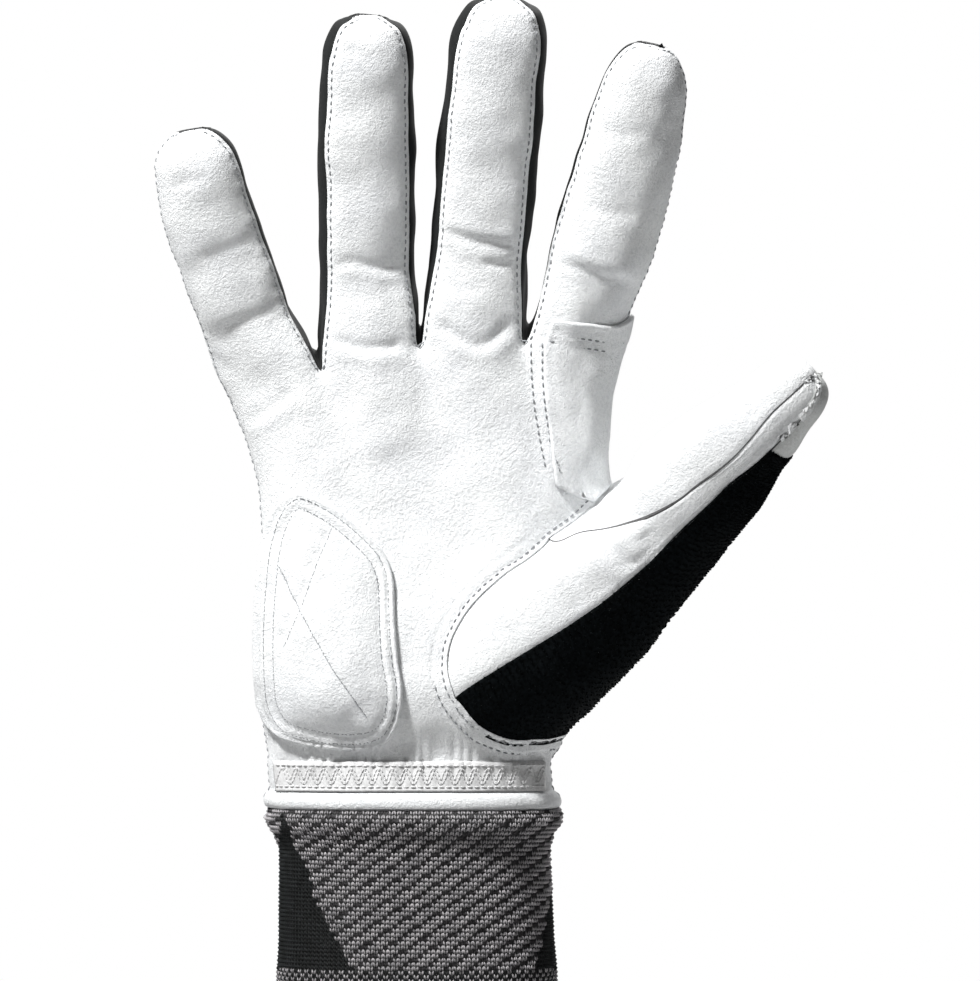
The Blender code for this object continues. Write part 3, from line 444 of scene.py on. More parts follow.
class PalmRow:
    """Point numbers of one row: front and back columns, and the two side points."""

    def __init__(self, surface, index, row):
        self.front = []
        for column, share in enumerate(front_shares(index, row)):
            x_share, z_share = root_blend(index, column, share)
            x, z = palm_x(x_share), palm_z(z_share)
            y = palm_depth(x, z, True) * scallop(index, column)
            self.front.append(surface.point(x, y, z))
        rise = CROTCH_RISE if index == len(PALM_ROWS) - 1 else 0.0
        self.back = []
        for column, share in enumerate(back_shares(index, row)):
            x_share, z_share = share
            if index == len(PALM_ROWS) - 1:
                x_share, z_share = crotch_share(column)
            x, z = palm_x(x_share) - rise * root_lean(column), palm_z(z_share) + rise
            y = palm_depth(x, z, False) * (1.0 + scallop(index, column)) / 2.0
            self.back.append(surface.point(x, y, z))
        self.ulnar = self.side_point(surface, row.left_x, row.left_z, rise, 0)
        side = HOLE_FOOT[COLUMNS - SEAM_COLUMN] if index == HOLE_FOOT_ROW else None
        side = HOLE_TOP[COLUMNS - SEAM_COLUMN] if index == HOLE_TOP_ROW else side
        self.radial = None
        if not HOLE_FOOT_ROW < index < HOLE_TOP_ROW:
            share = side or HolePoint(row.right_x, row.right_z)
            self.radial = self.side_point(surface, share.x, share.z, rise, COLUMNS)

    @staticmethod
    def side_point(surface, x_share, z_share, rise, column):
        x = palm_x(x_share) - rise / 2.0 * root_lean(column)
        z = palm_z(z_share) + rise / 2.0
        share = (z - palm_z(0.0)) / PALM_LENGTH
        middle = np.interp(share, column_of(PALM_DEPTHS, "z"), column_of(PALM_DEPTHS, "middle"))
        return surface.point(x, PALM_DEPTH * middle, z)


def build_palm(surface):
    """Rows of the palm tube and the faces between them, around the thumb hole."""
    rows = [PalmRow(surface, i, row) for i, row in enumerate(PALM_ROWS)]
    for index in range(len(rows) - 1):
        below, above = rows[index], rows[index + 1]
        in_hole = HOLE_FOOT_ROW <= index < HOLE_TOP_ROW
        for column in range(SEAM_COLUMN if in_hole else COLUMNS):
            corners = (below.front[column], below.front[column + 1],
                       above.front[column + 1], above.front[column])
            surface.face(corners, "palm_panel")
        for column in range(BACK_SEAM_COLUMN if in_hole else COLUMNS):
            corners = (below.back[column + 1], below.back[column],
                       above.back[column], above.back[column + 1])
            surface.face(corners, "back_panel")
        surface.face((below.ulnar, below.front[0], above.front[0], above.ulnar), "palm_panel")
        surface.face((below.back[0], below.ulnar, above.ulnar, above.back[0]), "back_panel")
        if in_hole:
            continue
        surface.face((below.front[-1], below.radial, above.radial, above.front[-1]), "palm_panel")
        surface.face((below.radial, below.back[-1], above.back[-1], above.radial), "back_panel")
    surface.level.update([*rows[0].front, *rows[0].back, rows[0].ulnar, rows[0].radial])
    return rows


def axis_frame(splay, lean):
    """Axis, lateral and forward directions of a tube, from two angles in degrees."""
    splay, lean = math.radians(splay), math.radians(lean)
    flat = math.cos(lean)
    axis = np.array((-math.sin(splay) * flat, -math.sin(lean), math.cos(splay) * flat))
    forward = np.array((0.0, -1.0, 0.0))
    forward -= axis * forward.dot(axis)
    forward /= np.linalg.norm(forward)
    return axis, np.cross(axis, forward), forward


def finger_angles(finger):
    """Angles of a finger's ring of points: front, radial side, back, ulnar side."""
    front = np.linspace(180 - finger.left_edge, finger.right_edge, FINGER_COLUMNS + 1)
    back = np.linspace(-BACK_EDGE, BACK_EDGE - 180, FINGER_COLUMNS + 1)
    return [math.radians(a) for a in (*front, 0.0, *back, 180.0)]


def ring_points(centre, lateral, forward, half_width, half_depth, angles, crease=0.0):
    """Points of one superelliptic section. A crease pulls its front in."""
    ring = []
    for angle in angles:
        across, ahead = rounded(angle, FINGER_ROUNDNESS)
        dent = crease * max(0.0, ahead)
        ring.append(centre + lateral * half_width * across + forward * (half_depth * ahead - dent))
    return ring


def finger_path(finger, root, steps=60):
    """Points and frames along a finger's curved axis."""
    place = np.array(root, float)
    path = []
    for step in range(steps + 1):
        share = step / steps
        splay = finger.splay_root + (finger.splay_tip - finger.splay_root) * share
        lean = finger.lean_root + (finger.lean_tip - finger.lean_root) * share
        frame = axis_frame(splay, lean)
        path.append((place.copy(), frame))
        place += frame[0] * finger.length / steps
    return path


def taper_at(finger, distance):
    return 1.0 - finger.taper * distance / finger.length


def finger_stations(finger):
    """(distance along the axis, width share, crease share) of a finger's sections."""
    round_length = 0.5 * FINGER_WIDTH * finger.size * 0.95
    straight = finger.length - round_length
    stations = []
    for section in FINGER_SECTIONS:
        distance = section.along * straight
        stations.append((distance, section.width * taper_at(finger, distance), section.crease))
    last = stations[-1][1]
    for angle in TIP_ANGLES:
        turn = math.radians(angle)
        width = last * math.sin(turn) ** TIP_ROUNDNESS
        stations.append((straight + round_length * math.cos(turn), width, 0.0))
    return stations


def build_finger(surface, finger, base, first_side, last_side):
    """A finger tube on the ring of points base. The sides name the panels beside it."""
    half_width = 0.5 * FINGER_WIDTH * finger.size
    half_depth = 0.5 * FINGER_DEPTH * finger.size
    angles = finger_angles(finger)
    base_points = [surface.points[p] for p in base]
    root = sum(base_points) / len(base_points)
    path = finger_path(finger, root)
    _, lateral, forward = path[0][1]
    start = ring_points(root, lateral, forward, half_width, half_depth, angles)
    shift = [b - s for b, s in zip(base_points, start)]
    sections = len(FINGER_SECTIONS)
    below = list(base)
    for number, (distance, width, crease) in enumerate(finger_stations(finger)):
        place, (_, lateral, forward) = path[round(distance / finger.length * (len(path) - 1))]
        ring = ring_points(place, lateral, forward, half_width * width, half_depth * width,
                           angles, CREASE_DEPTH * crease)
        fade = 1.0 - smoothstep(distance / (ROOT_BLEND * finger.length))
        above = [surface.point(*(p + s * fade)) for p, s in zip(ring, shift)]
        wrapped = number < sections + FRONT_TIP_RINGS
        side_names = finger_side_names(first_side, last_side, wrapped)
        for column in range(len(above)):
            after = (column + 1) % len(above)
            corners = (below[column], below[after], above[after], above[column])
            surface.face(corners, side_names[column])
        below = above
    tip = surface.point(*path[-1][0])
    for column in range(len(below)):
        surface.face((below[column], below[(column + 1) % len(below)], tip), "back_panel")


def finger_side_names(first_side, last_side, wrapped):
    """Panel of each column of a finger, in the ring's order."""
    if not wrapped:
        return ["back_panel"] * (2 * FINGER_COLUMNS + 4)
    front = ["palm_panel"] * FINGER_COLUMNS
    back = ["back_panel"] * FINGER_COLUMNS
    return [*front, last_side[0], last_side[1], *back, first_side[1], first_side[0]]


def build_fingers(surface, rows):
    """The four fingers, which share a slanting crotch line with each neighbour."""
    top = rows[-1]
    outer = ("palm_panel", "back_panel")
    gussets = [(f"gusset_{a.name}_{b.name}",) * 2 for a, b in zip(FINGERS, FINGERS[1:])]
    names = [outer, *gussets, outer]
    sides = [top.ulnar]
    for number in range(1, len(FINGERS)):
        column = number * FINGER_COLUMNS
        front, back = top.front[column], top.back[column]
        middle = (surface.points[front] + surface.points[back]) / 2.0
        half = np.array((CROTCH_FLOOR / 2.0, 0.0, 0.0))
        floor = [surface.point(*(middle - half)), surface.point(*(middle + half))]
        surface.face((front, floor[1], back, floor[0]), names[number][0])
        surface.raised.update([front, back, *floor])
        sides += floor
    sides.append(top.radial)
    for number, finger in enumerate(FINGERS):
        first = number * FINGER_COLUMNS
        last = first + FINGER_COLUMNS
        front = top.front[first:last + 1]
        back = top.back[first:last + 1][::-1]
        base = [*front, sides[2 * number + 1], *back, sides[2 * number]]
        build_finger(surface, finger, base, names[number], names[number + 1])


def hole_ring(rows):
    """Points round the thumb hole: up the front seam, over the top, down the back."""
    hole_rows = rows[HOLE_FOOT_ROW:HOLE_TOP_ROW + 1]
    foot, top = hole_rows[0], hole_rows[-1]
    front = [row.front[SEAM_COLUMN] for row in hole_rows]
    over = [*top.front[SEAM_COLUMN + 1:], top.radial, *reversed(top.back[BACK_SEAM_COLUMN + 1:])]
    down = [row.back[BACK_SEAM_COLUMN] for row in reversed(hole_rows)]
    under = [*foot.back[BACK_SEAM_COLUMN + 1:], foot.radial, *reversed(foot.front[SEAM_COLUMN + 1:])]
    return front, over, down, under


def thumb_angles(section, counts):
    """Angles of the thumb's ring of points, from the black seam up to the front seam."""
    front, over, down, under = counts
    stops = [section.black_seam, section.front_seam, *THUMB_BACK_SEAMS, section.black_seam + 360]
    angles = []
    for first, last, steps in zip(stops, stops[1:], (front, over, down, under)):
        angles += list(np.linspace(first, last, steps + 1)[:-1])
    return [math.radians(a) for a in angles]


def thumb_centre(section):
    return np.array((section.x, section.y, section.z)) * THUMB_LENGTH + np.array((0.0, 0.0, palm_z(0.0)))


def thumb_frames():
    """Centre, upward and forward directions of each thumb section."""
    centres = [thumb_centre(section) for section in THUMB_SECTIONS]
    frames = []
    for number, centre in enumerate(centres):
        before = centres[max(number - 1, 0)]
        after = centres[min(number + 1, len(centres) - 1)]
        axis = (after - before) / np.linalg.norm(after - before)
        forward = np.array((0.0, -1.0, 0.0)) + axis[1] * axis
        forward /= np.linalg.norm(forward)
        frames.append((centre, axis, np.cross(forward, axis), forward))
    return frames


def thumb_ring(frame, section, width, angles):
    """Points of a thumb section: 0 degrees is its lower edge and 90 its front."""
    centre, _, upward, forward = frame
    half_width = 0.5 * THUMB_WIDTH * section.width * width
    half_depth = 0.5 * THUMB_DEPTH * section.depth * width
    return ring_points(centre, -upward, forward, half_width, half_depth, angles)


def build_thumb(surface, rows):
    """The set-in thumb: a pad panel, a side strip, a terry back and a tip patch."""
    front, over, down, under = hole_ring(rows)
    base = [*front, *over, *down, *under]
    counts = (len(front) - 1, len(over) + 1, len(down) - 1, len(under) + 1)
    names = ["thumb_side_panel"] * counts[0] + ["thumb_pad_panel"] * counts[1]
    names += ["thumb_terry_back"] * (counts[2] + counts[3])
    tip_names = [n if n != "thumb_terry_back" else "thumb_tip_patch" for n in names]
    frames = thumb_frames()
    start = thumb_ring(frames[0], THUMB_SECTIONS[0], 1.0, thumb_angles(THUMB_SECTIONS[0], counts))
    shift = [surface.points[b] - s for b, s in zip(base, start)]
    axis = frames[0][1]
    below = base
    for number in range(1, len(THUMB_SECTIONS)):
        section = THUMB_SECTIONS[number]
        ring = thumb_ring(frames[number], section, 1.0, thumb_angles(section, counts))
        aside = 1.0 - smoothstep(section.along / THUMB_BLEND_END)
        ahead = max(0.0, 1.0 - section.along / THUMB_SHEAR_END) ** 1.1
        above = []
        for place, move in zip(ring, shift):
            shear = axis * move.dot(axis)
            above.append(surface.point(*(place + shear * ahead + (move - shear) * aside)))
        band_faces(surface, below, above, names if number <= TERRY_LAST_SECTION else tip_names)
        below = above
    close_thumb_tip(surface, below, frames[-1], counts, tip_names)


def close_thumb_tip(surface, below, frame, counts, names):
    """Rounds the thumb's end over and closes it on one point."""
    centre, axis, upward, forward = frame
    section = THUMB_SECTIONS[-1]
    reach = THUMB_TIP * THUMB_LENGTH
    for angle in TIP_ANGLES:
        turn = math.radians(angle)
        place = (centre + axis * reach * math.cos(turn), axis, upward, forward)
        ring = thumb_ring(place, section, math.sin(turn) ** TIP_ROUNDNESS, thumb_angles(section, counts))
        above = [surface.point(*p) for p in ring]
        band_faces(surface, below, above, names)
        below = above
    tip = surface.point(*(centre + axis * reach))
    for column, name in enumerate(names):
        surface.face((below[(column + 1) % len(below)], below[column], tip), name)


def band_faces(surface, below, above, names):
    """Faces between two rings, where the ring runs clockwise seen from the tip."""
    for column, name in enumerate(names):
        after = (column + 1) % len(below)
        surface.face((below[after], below[column], above[column], above[after]), name)


def cuff_rings():
    """(z, half width, half depth, middle x) of the cuff's outer sections."""
    seam = PALM_ROWS[0]
    top_width = palm_x(seam.right_x - seam.left_x) / 2.0
    top_depth = PALM_DEPTH * PALM_DEPTHS[0].front
    middle = palm_x(seam.right_x + seam.left_x) / 2.0
    rings = [
        (0.0, CUFF_WIDTH / 2.0 - HEM_SWELL, CUFF_DEPTH / 2.0 - HEM_SWELL, 0.0),
        (0.2 * HEM_HEIGHT, CUFF_WIDTH / 2.0 + HEM_SWELL, CUFF_DEPTH / 2.0 + HEM_SWELL, 0.0),
        (HEM_HEIGHT, CUFF_WIDTH / 2.0 + HEM_SWELL, CUFF_DEPTH / 2.0 + HEM_SWELL, 0.0),
    ]
    for section in CUFF_SECTIONS:
        z = HEM_HEIGHT + section.z * (CUFF_LENGTH - HEM_HEIGHT)
        rings.append((z, section.width * CUFF_WIDTH / 2.0, section.width * CUFF_DEPTH / 2.0,
                      section.z * middle))
    rings.append((CUFF_LENGTH, top_width, top_depth, middle))
    return rings


# The photograph's scale and frame, used to place seams, creases and stitches on the glove.
PIXEL = 0.000255
ORIGIN_PX = (417.0, 990.0)
CAMERA_X = 0.0186
CAMERA_Z = 0.1274
FRAME_WIDTH = 0.2499
CAMERA_FAR = 2.4
SENSOR = 36.0

LEVELS = 3
STITCH_PITCH = 0.0020
STITCH_LENGTH = 0.00135
THREAD = 0.00021
SHELL_RIB_PITCH = 0.0011

# How often and how strongly the control mesh is moved so that its limit meets its points.
FIT_STEPS = 3
FIT_RATE = 0.9

# Soft lumps of the filled glove: size, noise seed and height.
LUMPS = ((0.014, 1, 0.00070), (0.0065, 2, 0.00030))
LUMPS_START = 0.012

# Gathers above the elastic tape, the roll of the leather's hem and folds of the back.
TAPE_EDGE_PX = 757
GATHER_HEIGHT = 0.00045
SLOW_GATHER_HEIGHT = 0.0004
HEM_ROLL_SHARE = 0.034
HEM_ROLL_HEIGHT = 0.0012
HEM_PINCH_DEPTH = 0.0004
BACK_FOLD_PITCH = 0.0105
BACK_FOLD_HEIGHT = 0.00035

# Stitched thread between its holes: share of the length, of the thickness, and height.
STITCH_STATIONS = [
    (0.0, 0.35, -1.5), (0.14, 0.85, 0.0), (0.5, 1.0, 0.45), (0.86, 0.85, 0.0), (1.0, 0.35, -1.5),
]


def seen(px, py):
    """x and z of a point of the photograph."""
    return (px - ORIGIN_PX[0]) * PIXEL, (ORIGIN_PX[1] - py) * PIXEL


def subdivided(points, faces, levels):
    """Limit positions, quads and source faces of a control mesh after some levels."""
    mesh = bpy.data.meshes.new("control")
    mesh.from_pydata([tuple(p) for p in points], [], [tuple(f) for f in faces])
    mesh.polygons.foreach_set("material_index", range(len(faces)))
    obj = bpy.data.objects.new("control", mesh)
    bpy.context.scene.collection.objects.link(obj)
    modifier = obj.modifiers.new("refine", "SUBSURF")
    modifier.levels = levels
    modifier.render_levels = levels
    modifier.use_limit_surface = True
    fine = obj.evaluated_get(bpy.context.evaluated_depsgraph_get()).to_mesh()
    places = np.empty(len(fine.vertices) * 3)
    fine.vertices.foreach_get("co", places)
    corners = np.empty(len(fine.loops), int)
    fine.loops.foreach_get("vertex_index", corners)
    source = np.empty(len(fine.polygons), int)
    fine.polygons.foreach_get("material_index", source)
    obj.to_mesh_clear()
    bpy.data.objects.remove(obj, do_unlink=True)
    bpy.data.meshes.remove(mesh)
    return places.reshape(-1, 3), corners.reshape(-1, 4), source


def refined(surface, levels):
    """A smooth surface that passes through the control points."""
    target = np.array(surface.points)
    control = target.copy()
    for _ in range(FIT_STEPS):
        limit, _, _ = subdivided(control, surface.faces, 1)
        control += FIT_RATE * (target - limit[: len(target)])
    return subdivided(control, surface.faces, levels)


def vertex_normals(points, quads):
    a, b, c, d = (points[quads[:, k]] for k in range(4))
    flat = np.cross(c - a, d - b)
    total = np.zeros_like(points)
    for k in range(4):
        np.add.at(total, quads[:, k], flat)
    return total / np.maximum(np.linalg.norm(total, axis=1), 1e-12)[:, None]


def noise_values(points, size, seed):
    """Smooth noise of about -1 to 1 at some points, with lumps of about size metres."""
    shift = Vector((seed * 13.7, seed * 5.3, seed * 9.1))
    return np.array([noise.noise(Vector(p) / size + shift) for p in points])


def run_along(points):
    """How far along a line each of its points lies."""
    return np.concatenate([[0.0], np.cumsum(np.linalg.norm(np.diff(points, axis=0), axis=1))])


def bell(offset, width):
    """1 where offset is 0, falling away over about width."""
    return np.exp(-((offset / width) ** 2))


def line_distance(xs, zs, line):
    """Distance of points to a line of (x, z) points, and where along it, from 0 to 1."""
    best = np.full(len(xs), 1e9)
    place = np.zeros(len(xs))
    line = np.array(line, float)
    run = run_along(line)
    for k in range(len(line) - 1):
        start, step = line[k], line[k + 1] - line[k]
        length = np.linalg.norm(step)
        share = np.clip(((xs - start[0]) * step[0] + (zs - start[1]) * step[1]) / length**2, 0, 1)
        far = np.hypot(xs - start[0] - share * step[0], zs - start[1] - share * step[1])
        near = far < best
        best[near] = far[near]
        place[near] = (run[k] + share[near] * length) / run[-1]
    return best, place


Crease = namedtuple("Crease", "depth width line")

# Creases of the white leather, in millimetres, along lines of the photograph's pixels.
# A negative depth is a raised fold.
CREASES = [
    Crease(0.75, 1.5, [(329, 336), (347, 345), (368, 349), (390, 348), (409, 342)]),
    Crease(-0.40, 1.6, [(332, 346), (350, 356), (370, 360), (392, 358), (410, 352)]),
    Crease(0.50, 1.5, [(330, 268), (352, 263), (384, 270), (412, 266)]),
    Crease(-0.30, 1.6, [(330, 277), (352, 273), (384, 279), (412, 276)]),
    Crease(0.30, 2.2, [(331, 300), (355, 296), (384, 303)]),
    Crease(0.28, 2.0, [(330, 62), (345, 54), (362, 56)]),
    Crease(-0.30, 1.8, [(333, 52), (346, 46), (366, 49), (388, 52)]),
    Crease(0.80, 1.7, [(428, 318), (440, 326), (455, 337), (474, 347), (489, 344), (502, 331), (516, 317)]),
    Crease(-0.50, 1.8, [(428, 328), (442, 338), (458, 348), (476, 357), (494, 352), (508, 340), (518, 328)]),
    Crease(0.55, 1.4, [(438, 228), (455, 236), (478, 243), (500, 246), (523, 248)]),
    Crease(-0.35, 1.4, [(436, 218), (456, 226), (480, 233), (502, 237), (524, 238)]),
    Crease(0.40, 1.3, [(480, 262), (498, 266), (522, 260)]),
    Crease(-0.30, 1.5, [(450, 252), (476, 256), (500, 258), (522, 254)]),
    Crease(0.30, 2.0, [(436, 285), (460, 292), (488, 290)]),
    Crease(0.35, 2.0, [(462, 34), (476, 30), (492, 34)]),
    Crease(0.50, 1.5, [(555, 262), (575, 268), (600, 277), (625, 284), (640, 285)]),
    Crease(-0.35, 1.6, [(558, 250), (580, 257), (604, 266), (640, 274)]),
    Crease(0.35, 1.8, [(580, 205), (606, 214), (640, 218)]),
    Crease(0.30, 1.8, [(600, 130), (620, 138), (648, 138)]),
    Crease(0.45, 1.7, [(246, 424), (262, 414), (280, 402), (300, 388)]),
    Crease(-0.30, 1.8, [(248, 434), (266, 424), (284, 411), (304, 398)]),
    Crease(0.40, 1.6, [(222, 330), (240, 322), (262, 314), (282, 300)]),
    Crease(0.30, 1.6, [(195, 262), (215, 256), (240, 246), (262, 236)]),
    Crease(0.25, 1.5, [(172, 190), (190, 184), (212, 180)]),
    Crease(0.55, 2.4, [(536, 392), (552, 430), (572, 462), (592, 492)]),
    Crease(-0.50, 2.4, [(556, 392), (576, 430), (592, 458), (600, 480)]),
    Crease(0.35, 2.2, [(588, 372), (594, 410), (602, 448)]),
    Crease(0.30, 5.0, [(300, 500), (360, 470), (430, 452), (500, 450)]),
    Crease(-0.20, 4.0, [(300, 480), (360, 452), (430, 432), (500, 430)]),
]
THUMB_CREASES = [
    Crease(0.85, 1.6, [(600, 532), (606, 548), (618, 560), (636, 568)]),
    Crease(-0.60, 1.7, [(590, 540), (598, 556), (612, 570), (632, 580)]),
    Crease(-0.45, 1.6, [(614, 534), (622, 546), (640, 556)]),
    Crease(0.40, 1.8, [(640, 530), (650, 545), (652, 560)]),
    Crease(0.35, 2.0, [(560, 560), (572, 585), (578, 612)]),
]


def crease_height(points, normals, creases):
    """Height that the creases add to points that face the front."""
    total = np.zeros(len(points))
    facing = np.clip((-normals[:, 1] - 0.05) / 0.35, 0.0, 1.0)
    for crease in creases:
        line = [seen(px, py) for px, py in crease.line]
        far, place = line_distance(points[:, 0], points[:, 2], line)
        ends = np.clip(np.minimum(place, 1.0 - place) / 0.22, 0.0, 1.0)
        ends = ends * ends * (3.0 - 2.0 * ends)
        width = crease.width * 0.001
        total -= crease.depth * 0.001 * bell(far, width) * ends * facing
    return total


def gather_height(points):
    """Upright gathers in the leather just above and below the elastic tape."""
    x, z = points[:, 0], points[:, 2]
    top = seen(0, TAPE_EDGE_PX)[1]
    reach = bell(z - top, 0.0045) * (z > top - 0.006)
    wave = 0.55 * np.sin(x / 0.0031 * 2 * math.pi + 2.2 * np.sin(x / 0.0123 * 2 * math.pi))
    wave += 0.45 * np.sin(x / 0.0072 * 2 * math.pi + 1.0 + 1.6 * np.sin(x / 0.021 * 2 * math.pi))
    long_reach = bell(z - top, 0.010) * (z > top)
    slow = np.sin(x / 0.0115 * 2 * math.pi + 0.6)
    return GATHER_HEIGHT * wave * reach + SLOW_GATHER_HEIGHT * slow * long_reach


def hem_height(points):
    """The leather's hem, a soft roll between the elastic tape and the cuff."""
    share = (points[:, 2] - palm_z(0.0)) / (HEM_ROLL_SHARE * PALM_LENGTH)
    roll = np.sin(np.clip(share, 0.0, 1.0) * math.pi) ** 0.6
    pinch = bell(share - 1.15, 0.35)
    return HEM_ROLL_HEIGHT * roll - HEM_PINCH_DEPTH * pinch * (share > 0)


class Hand:
    """The refined hand surface with its panels, and its final points and normals."""

    def __init__(self):
        surface = Surface()
        self.rows = build_palm(surface)
        build_fingers(surface, self.rows)
        build_thumb(surface, self.rows)
        self.surface = surface
        self.points, self.quads, self.source = refined(surface, LEVELS)
        names = sorted(set(surface.panels))
        self.names = names
        self.panel = np.array([names.index(p) for p in surface.panels])[self.source]
        self.close_fingertips()
        self.normals = vertex_normals(self.points, self.quads)
        self.shape()

    def close_fingertips(self):
        """Takes the white panels up to the middle of the fingertips."""
        ends = {}
        for number, face in enumerate(self.surface.faces):
            if len(face) == 3 and self.surface.panels[number] == "back_panel":
                ends.setdefault(face[2], []).append(number)
        front = [n for fan in ends.values() for n in fan[:FINGER_COLUMNS]]
        self.panel[np.isin(self.source, front)] = self.names.index("palm_panel")

    def members(self, name):
        return self.quads[self.panel == self.names.index(name)]

    def faces_between(self, lower, upper, columns):
        """Numbers of the control faces between two rows of points, in some columns."""
        number_of = {tuple(sorted(face)): n for n, face in enumerate(self.surface.faces)}
        return [number_of[tuple(sorted((*lower[c:c + 2], *upper[c:c + 2])))] for c in columns]

    def shape(self):
        """Creases, gathers and soft lumps, as moves along the normals."""
        height = np.zeros(len(self.points))
        lumps = sum(noise_values(self.points, size, seed) * rise for size, seed, rise in LUMPS)
        seam = palm_z(0.0)
        calm = np.clip((self.points[:, 2] - seam) / LUMPS_START, 0.0, 1.0)
        height += lumps * calm
        thumb_fronts = ("thumb_side_panel", "thumb_pad_panel")
        for names, creases in ((("palm_panel",), CREASES), (thumb_fronts, THUMB_CREASES)):
            used = np.unique(np.concatenate([self.members(n).ravel() for n in names]))
            height[used] += crease_height(self.points[used], self.normals[used], creases)
        used = np.unique(self.members("palm_panel").ravel())
        height[used] += gather_height(self.points[used])
        height += hem_height(self.points)
        used = np.unique(self.members("back_panel").ravel())
        height[used] += self.back_creases(used)
        self.points = self.points + self.normals * height[:, None]
        self.normals = vertex_normals(self.points, self.quads)

    def back_creases(self, used):
        """Shallow folds over the knuckles and across the back of the hand."""
        points = self.points[used]
        x, z = points[:, 0], points[:, 2]
        share = (z - palm_z(0.0)) / PALM_LENGTH
        wave = np.sin((z + 0.12 * x) / BACK_FOLD_PITCH * 2 * math.pi + 1.5 * np.sin(x / 0.03))
        knuckle = bell(share - 1.02, 0.16)
        wrist = bell(share - 0.16, 0.12)
        facing = np.clip(self.normals[used, 1], 0.0, 1.0)
        return BACK_FOLD_HEIGHT * wave * (knuckle + 0.8 * wrist) * facing


def loops_of(edges):
    """Chains of directed edges, longest first."""
    after = {a: b for a, b in edges}
    chains = []
    while after:
        start = next(iter(after))
        before = {b: a for a, b in after.items()}
        seen_points = {start}
        while start in before and before[start] not in seen_points:
            start = before[start]
            seen_points.add(start)
        chain = [start]
        while chain[-1] in after:
            chain.append(after.pop(chain[-1]))
            if chain[-1] == chain[0]:
                break
        chains.append(chain)
    return sorted(chains, key=len, reverse=True)


def panel_border(hand, name, towards):
    """Chains of border points of a panel, where it meets the panels named in towards."""
    own = hand.names.index(name)
    owner = {}
    for face, quad in enumerate(hand.quads):
        for k in range(4):
            owner[(quad[k - 1], quad[k])] = hand.panel[face]
    picked = []
    for (a, b), panel in owner.items():
        if panel != own:
            continue
        other = owner.get((b, a))
        if other == own:
            continue
        if other is not None and hand.names[other] in towards:
            picked.append((a, b))
    return loops_of(picked)


def smooth_path(points, steps=3):
    points = np.array(points)
    for _ in range(steps):
        inner = (points[:-2] + 2 * points[1:-1] + points[2:]) / 4
        points = np.concatenate([points[:1], inner, points[-1:]])
    return points


def resample(points, pitch):
    points = np.array(points)
    run = run_along(points)
    count = max(2, int(round(run[-1] / pitch)))
    places = np.linspace(0.0, run[-1], count + 1)
    return np.column_stack([np.interp(places, run, points[:, k]) for k in range(3)])


def border_index(lines):
    """A search tree of densely resampled lines, with each point's place along its line."""
    dense, along = [], []
    for line in lines:
        fine = resample(line, 0.0002)
        dense.append(fine)
        along.append(run_along(fine))
    dense, along = np.concatenate(dense), np.concatenate(along)
    tree = KDTree(len(dense))
    for number, place in enumerate(dense):
        tree.insert(Vector(place), number)
    tree.balance()
    return tree, along


def distances(tree_and_along, points):
    tree, along = tree_and_along
    found = [tree.find(Vector(p)) for p in points]
    far = np.array([f[2] for f in found])
    return far, along[np.array([f[1] for f in found])]


def add_mesh(name, points, faces, materials, face_material=None):
    mesh = bpy.data.meshes.new(name)
    mesh.from_pydata([tuple(p) for p in points], [], [tuple(int(c) for c in f) for f in faces])
    mesh.shade_smooth()
    obj = bpy.data.objects.new(name, mesh)
    bpy.context.scene.collection.objects.link(obj)
    for material in materials:
        mesh.materials.append(material)
    if face_material is not None:
        mesh.polygons.foreach_set("material_index", np.array(face_material, dtype=np.int32))
    return obj


def sheet_of(points, faces):
    """A bmesh of some faces of a larger surface."""
    bm = bmesh.new()
    used = np.unique(faces)
    number = {int(v): i for i, v in enumerate(used)}
    verts = [bm.verts.new(points[v]) for v in used]
    for face in faces:
        bm.faces.new([verts[number[int(c)]] for c in face])
    return bm


def sheet_arrays(bm):
    """Places, normals and faces of a bmesh, which is then freed."""
    bm.normal_update()
    places = np.array([v.co[:] for v in bm.verts])
    normals = np.array([v.normal[:] for v in bm.verts])
    index = {v: i for i, v in enumerate(bm.verts)}
    quads = [[index[v] for v in f.verts] for f in bm.faces]
    bm.free()
    return places, normals, quads


def stripped(points, faces, widths):
    """A panel with narrow strips of faces along its border, and each point's ring."""
    bm = sheet_of(points, faces)
    ring = bm.verts.layers.int.new("ring")
    for vert in bm.verts:
        vert[ring] = len(widths)
    inner = list(bm.faces)
    inner_set = set(inner)
    for step, width in enumerate(widths):
        border = set()
        for face in inner:
            for edge in face.edges:
                if sum(f in inner_set for f in edge.link_faces) == 1:
                    border.update(edge.verts)
        for vert in border:
            vert[ring] = step
        result = bmesh.ops.inset_region(
            bm, faces=inner, thickness=width, use_boundary=True, use_even_offset=True)
        strip = set(result["faces"])
        for face in inner:
            for vert in face.verts:
                if any(f in strip for f in vert.link_faces):
                    vert[ring] = step + 1
    rings = np.array([v[ring] for v in bm.verts])
    places, normals, quads = sheet_arrays(bm)
    return places, normals, rings, quads


def directed_border(faces):
    edges = {}
    for face in faces:
        for k in range(len(face)):
            edges[(face[k - 1], face[k])] = True
    return [e for e in edges if (e[1], e[0]) not in edges]


def closed_shell(places, normals, quads, outer, inner):
    """Points and faces of a closed wall between two heights over a sheet of faces."""
    count = len(places)
    points = np.concatenate([places + normals * outer[:, None], places - normals * inner])
    faces = [list(q) for q in quads]
    faces += [[c + count for c in reversed(q)] for q in quads]
    faces += [[b, a, a + count, b + count] for a, b in directed_border(quads)]
    return points, faces


def border_lines(places, quads):
    """The border of a sheet of faces, as lines of points."""
    return [places[chain] for chain in loops_of(directed_border(quads))]


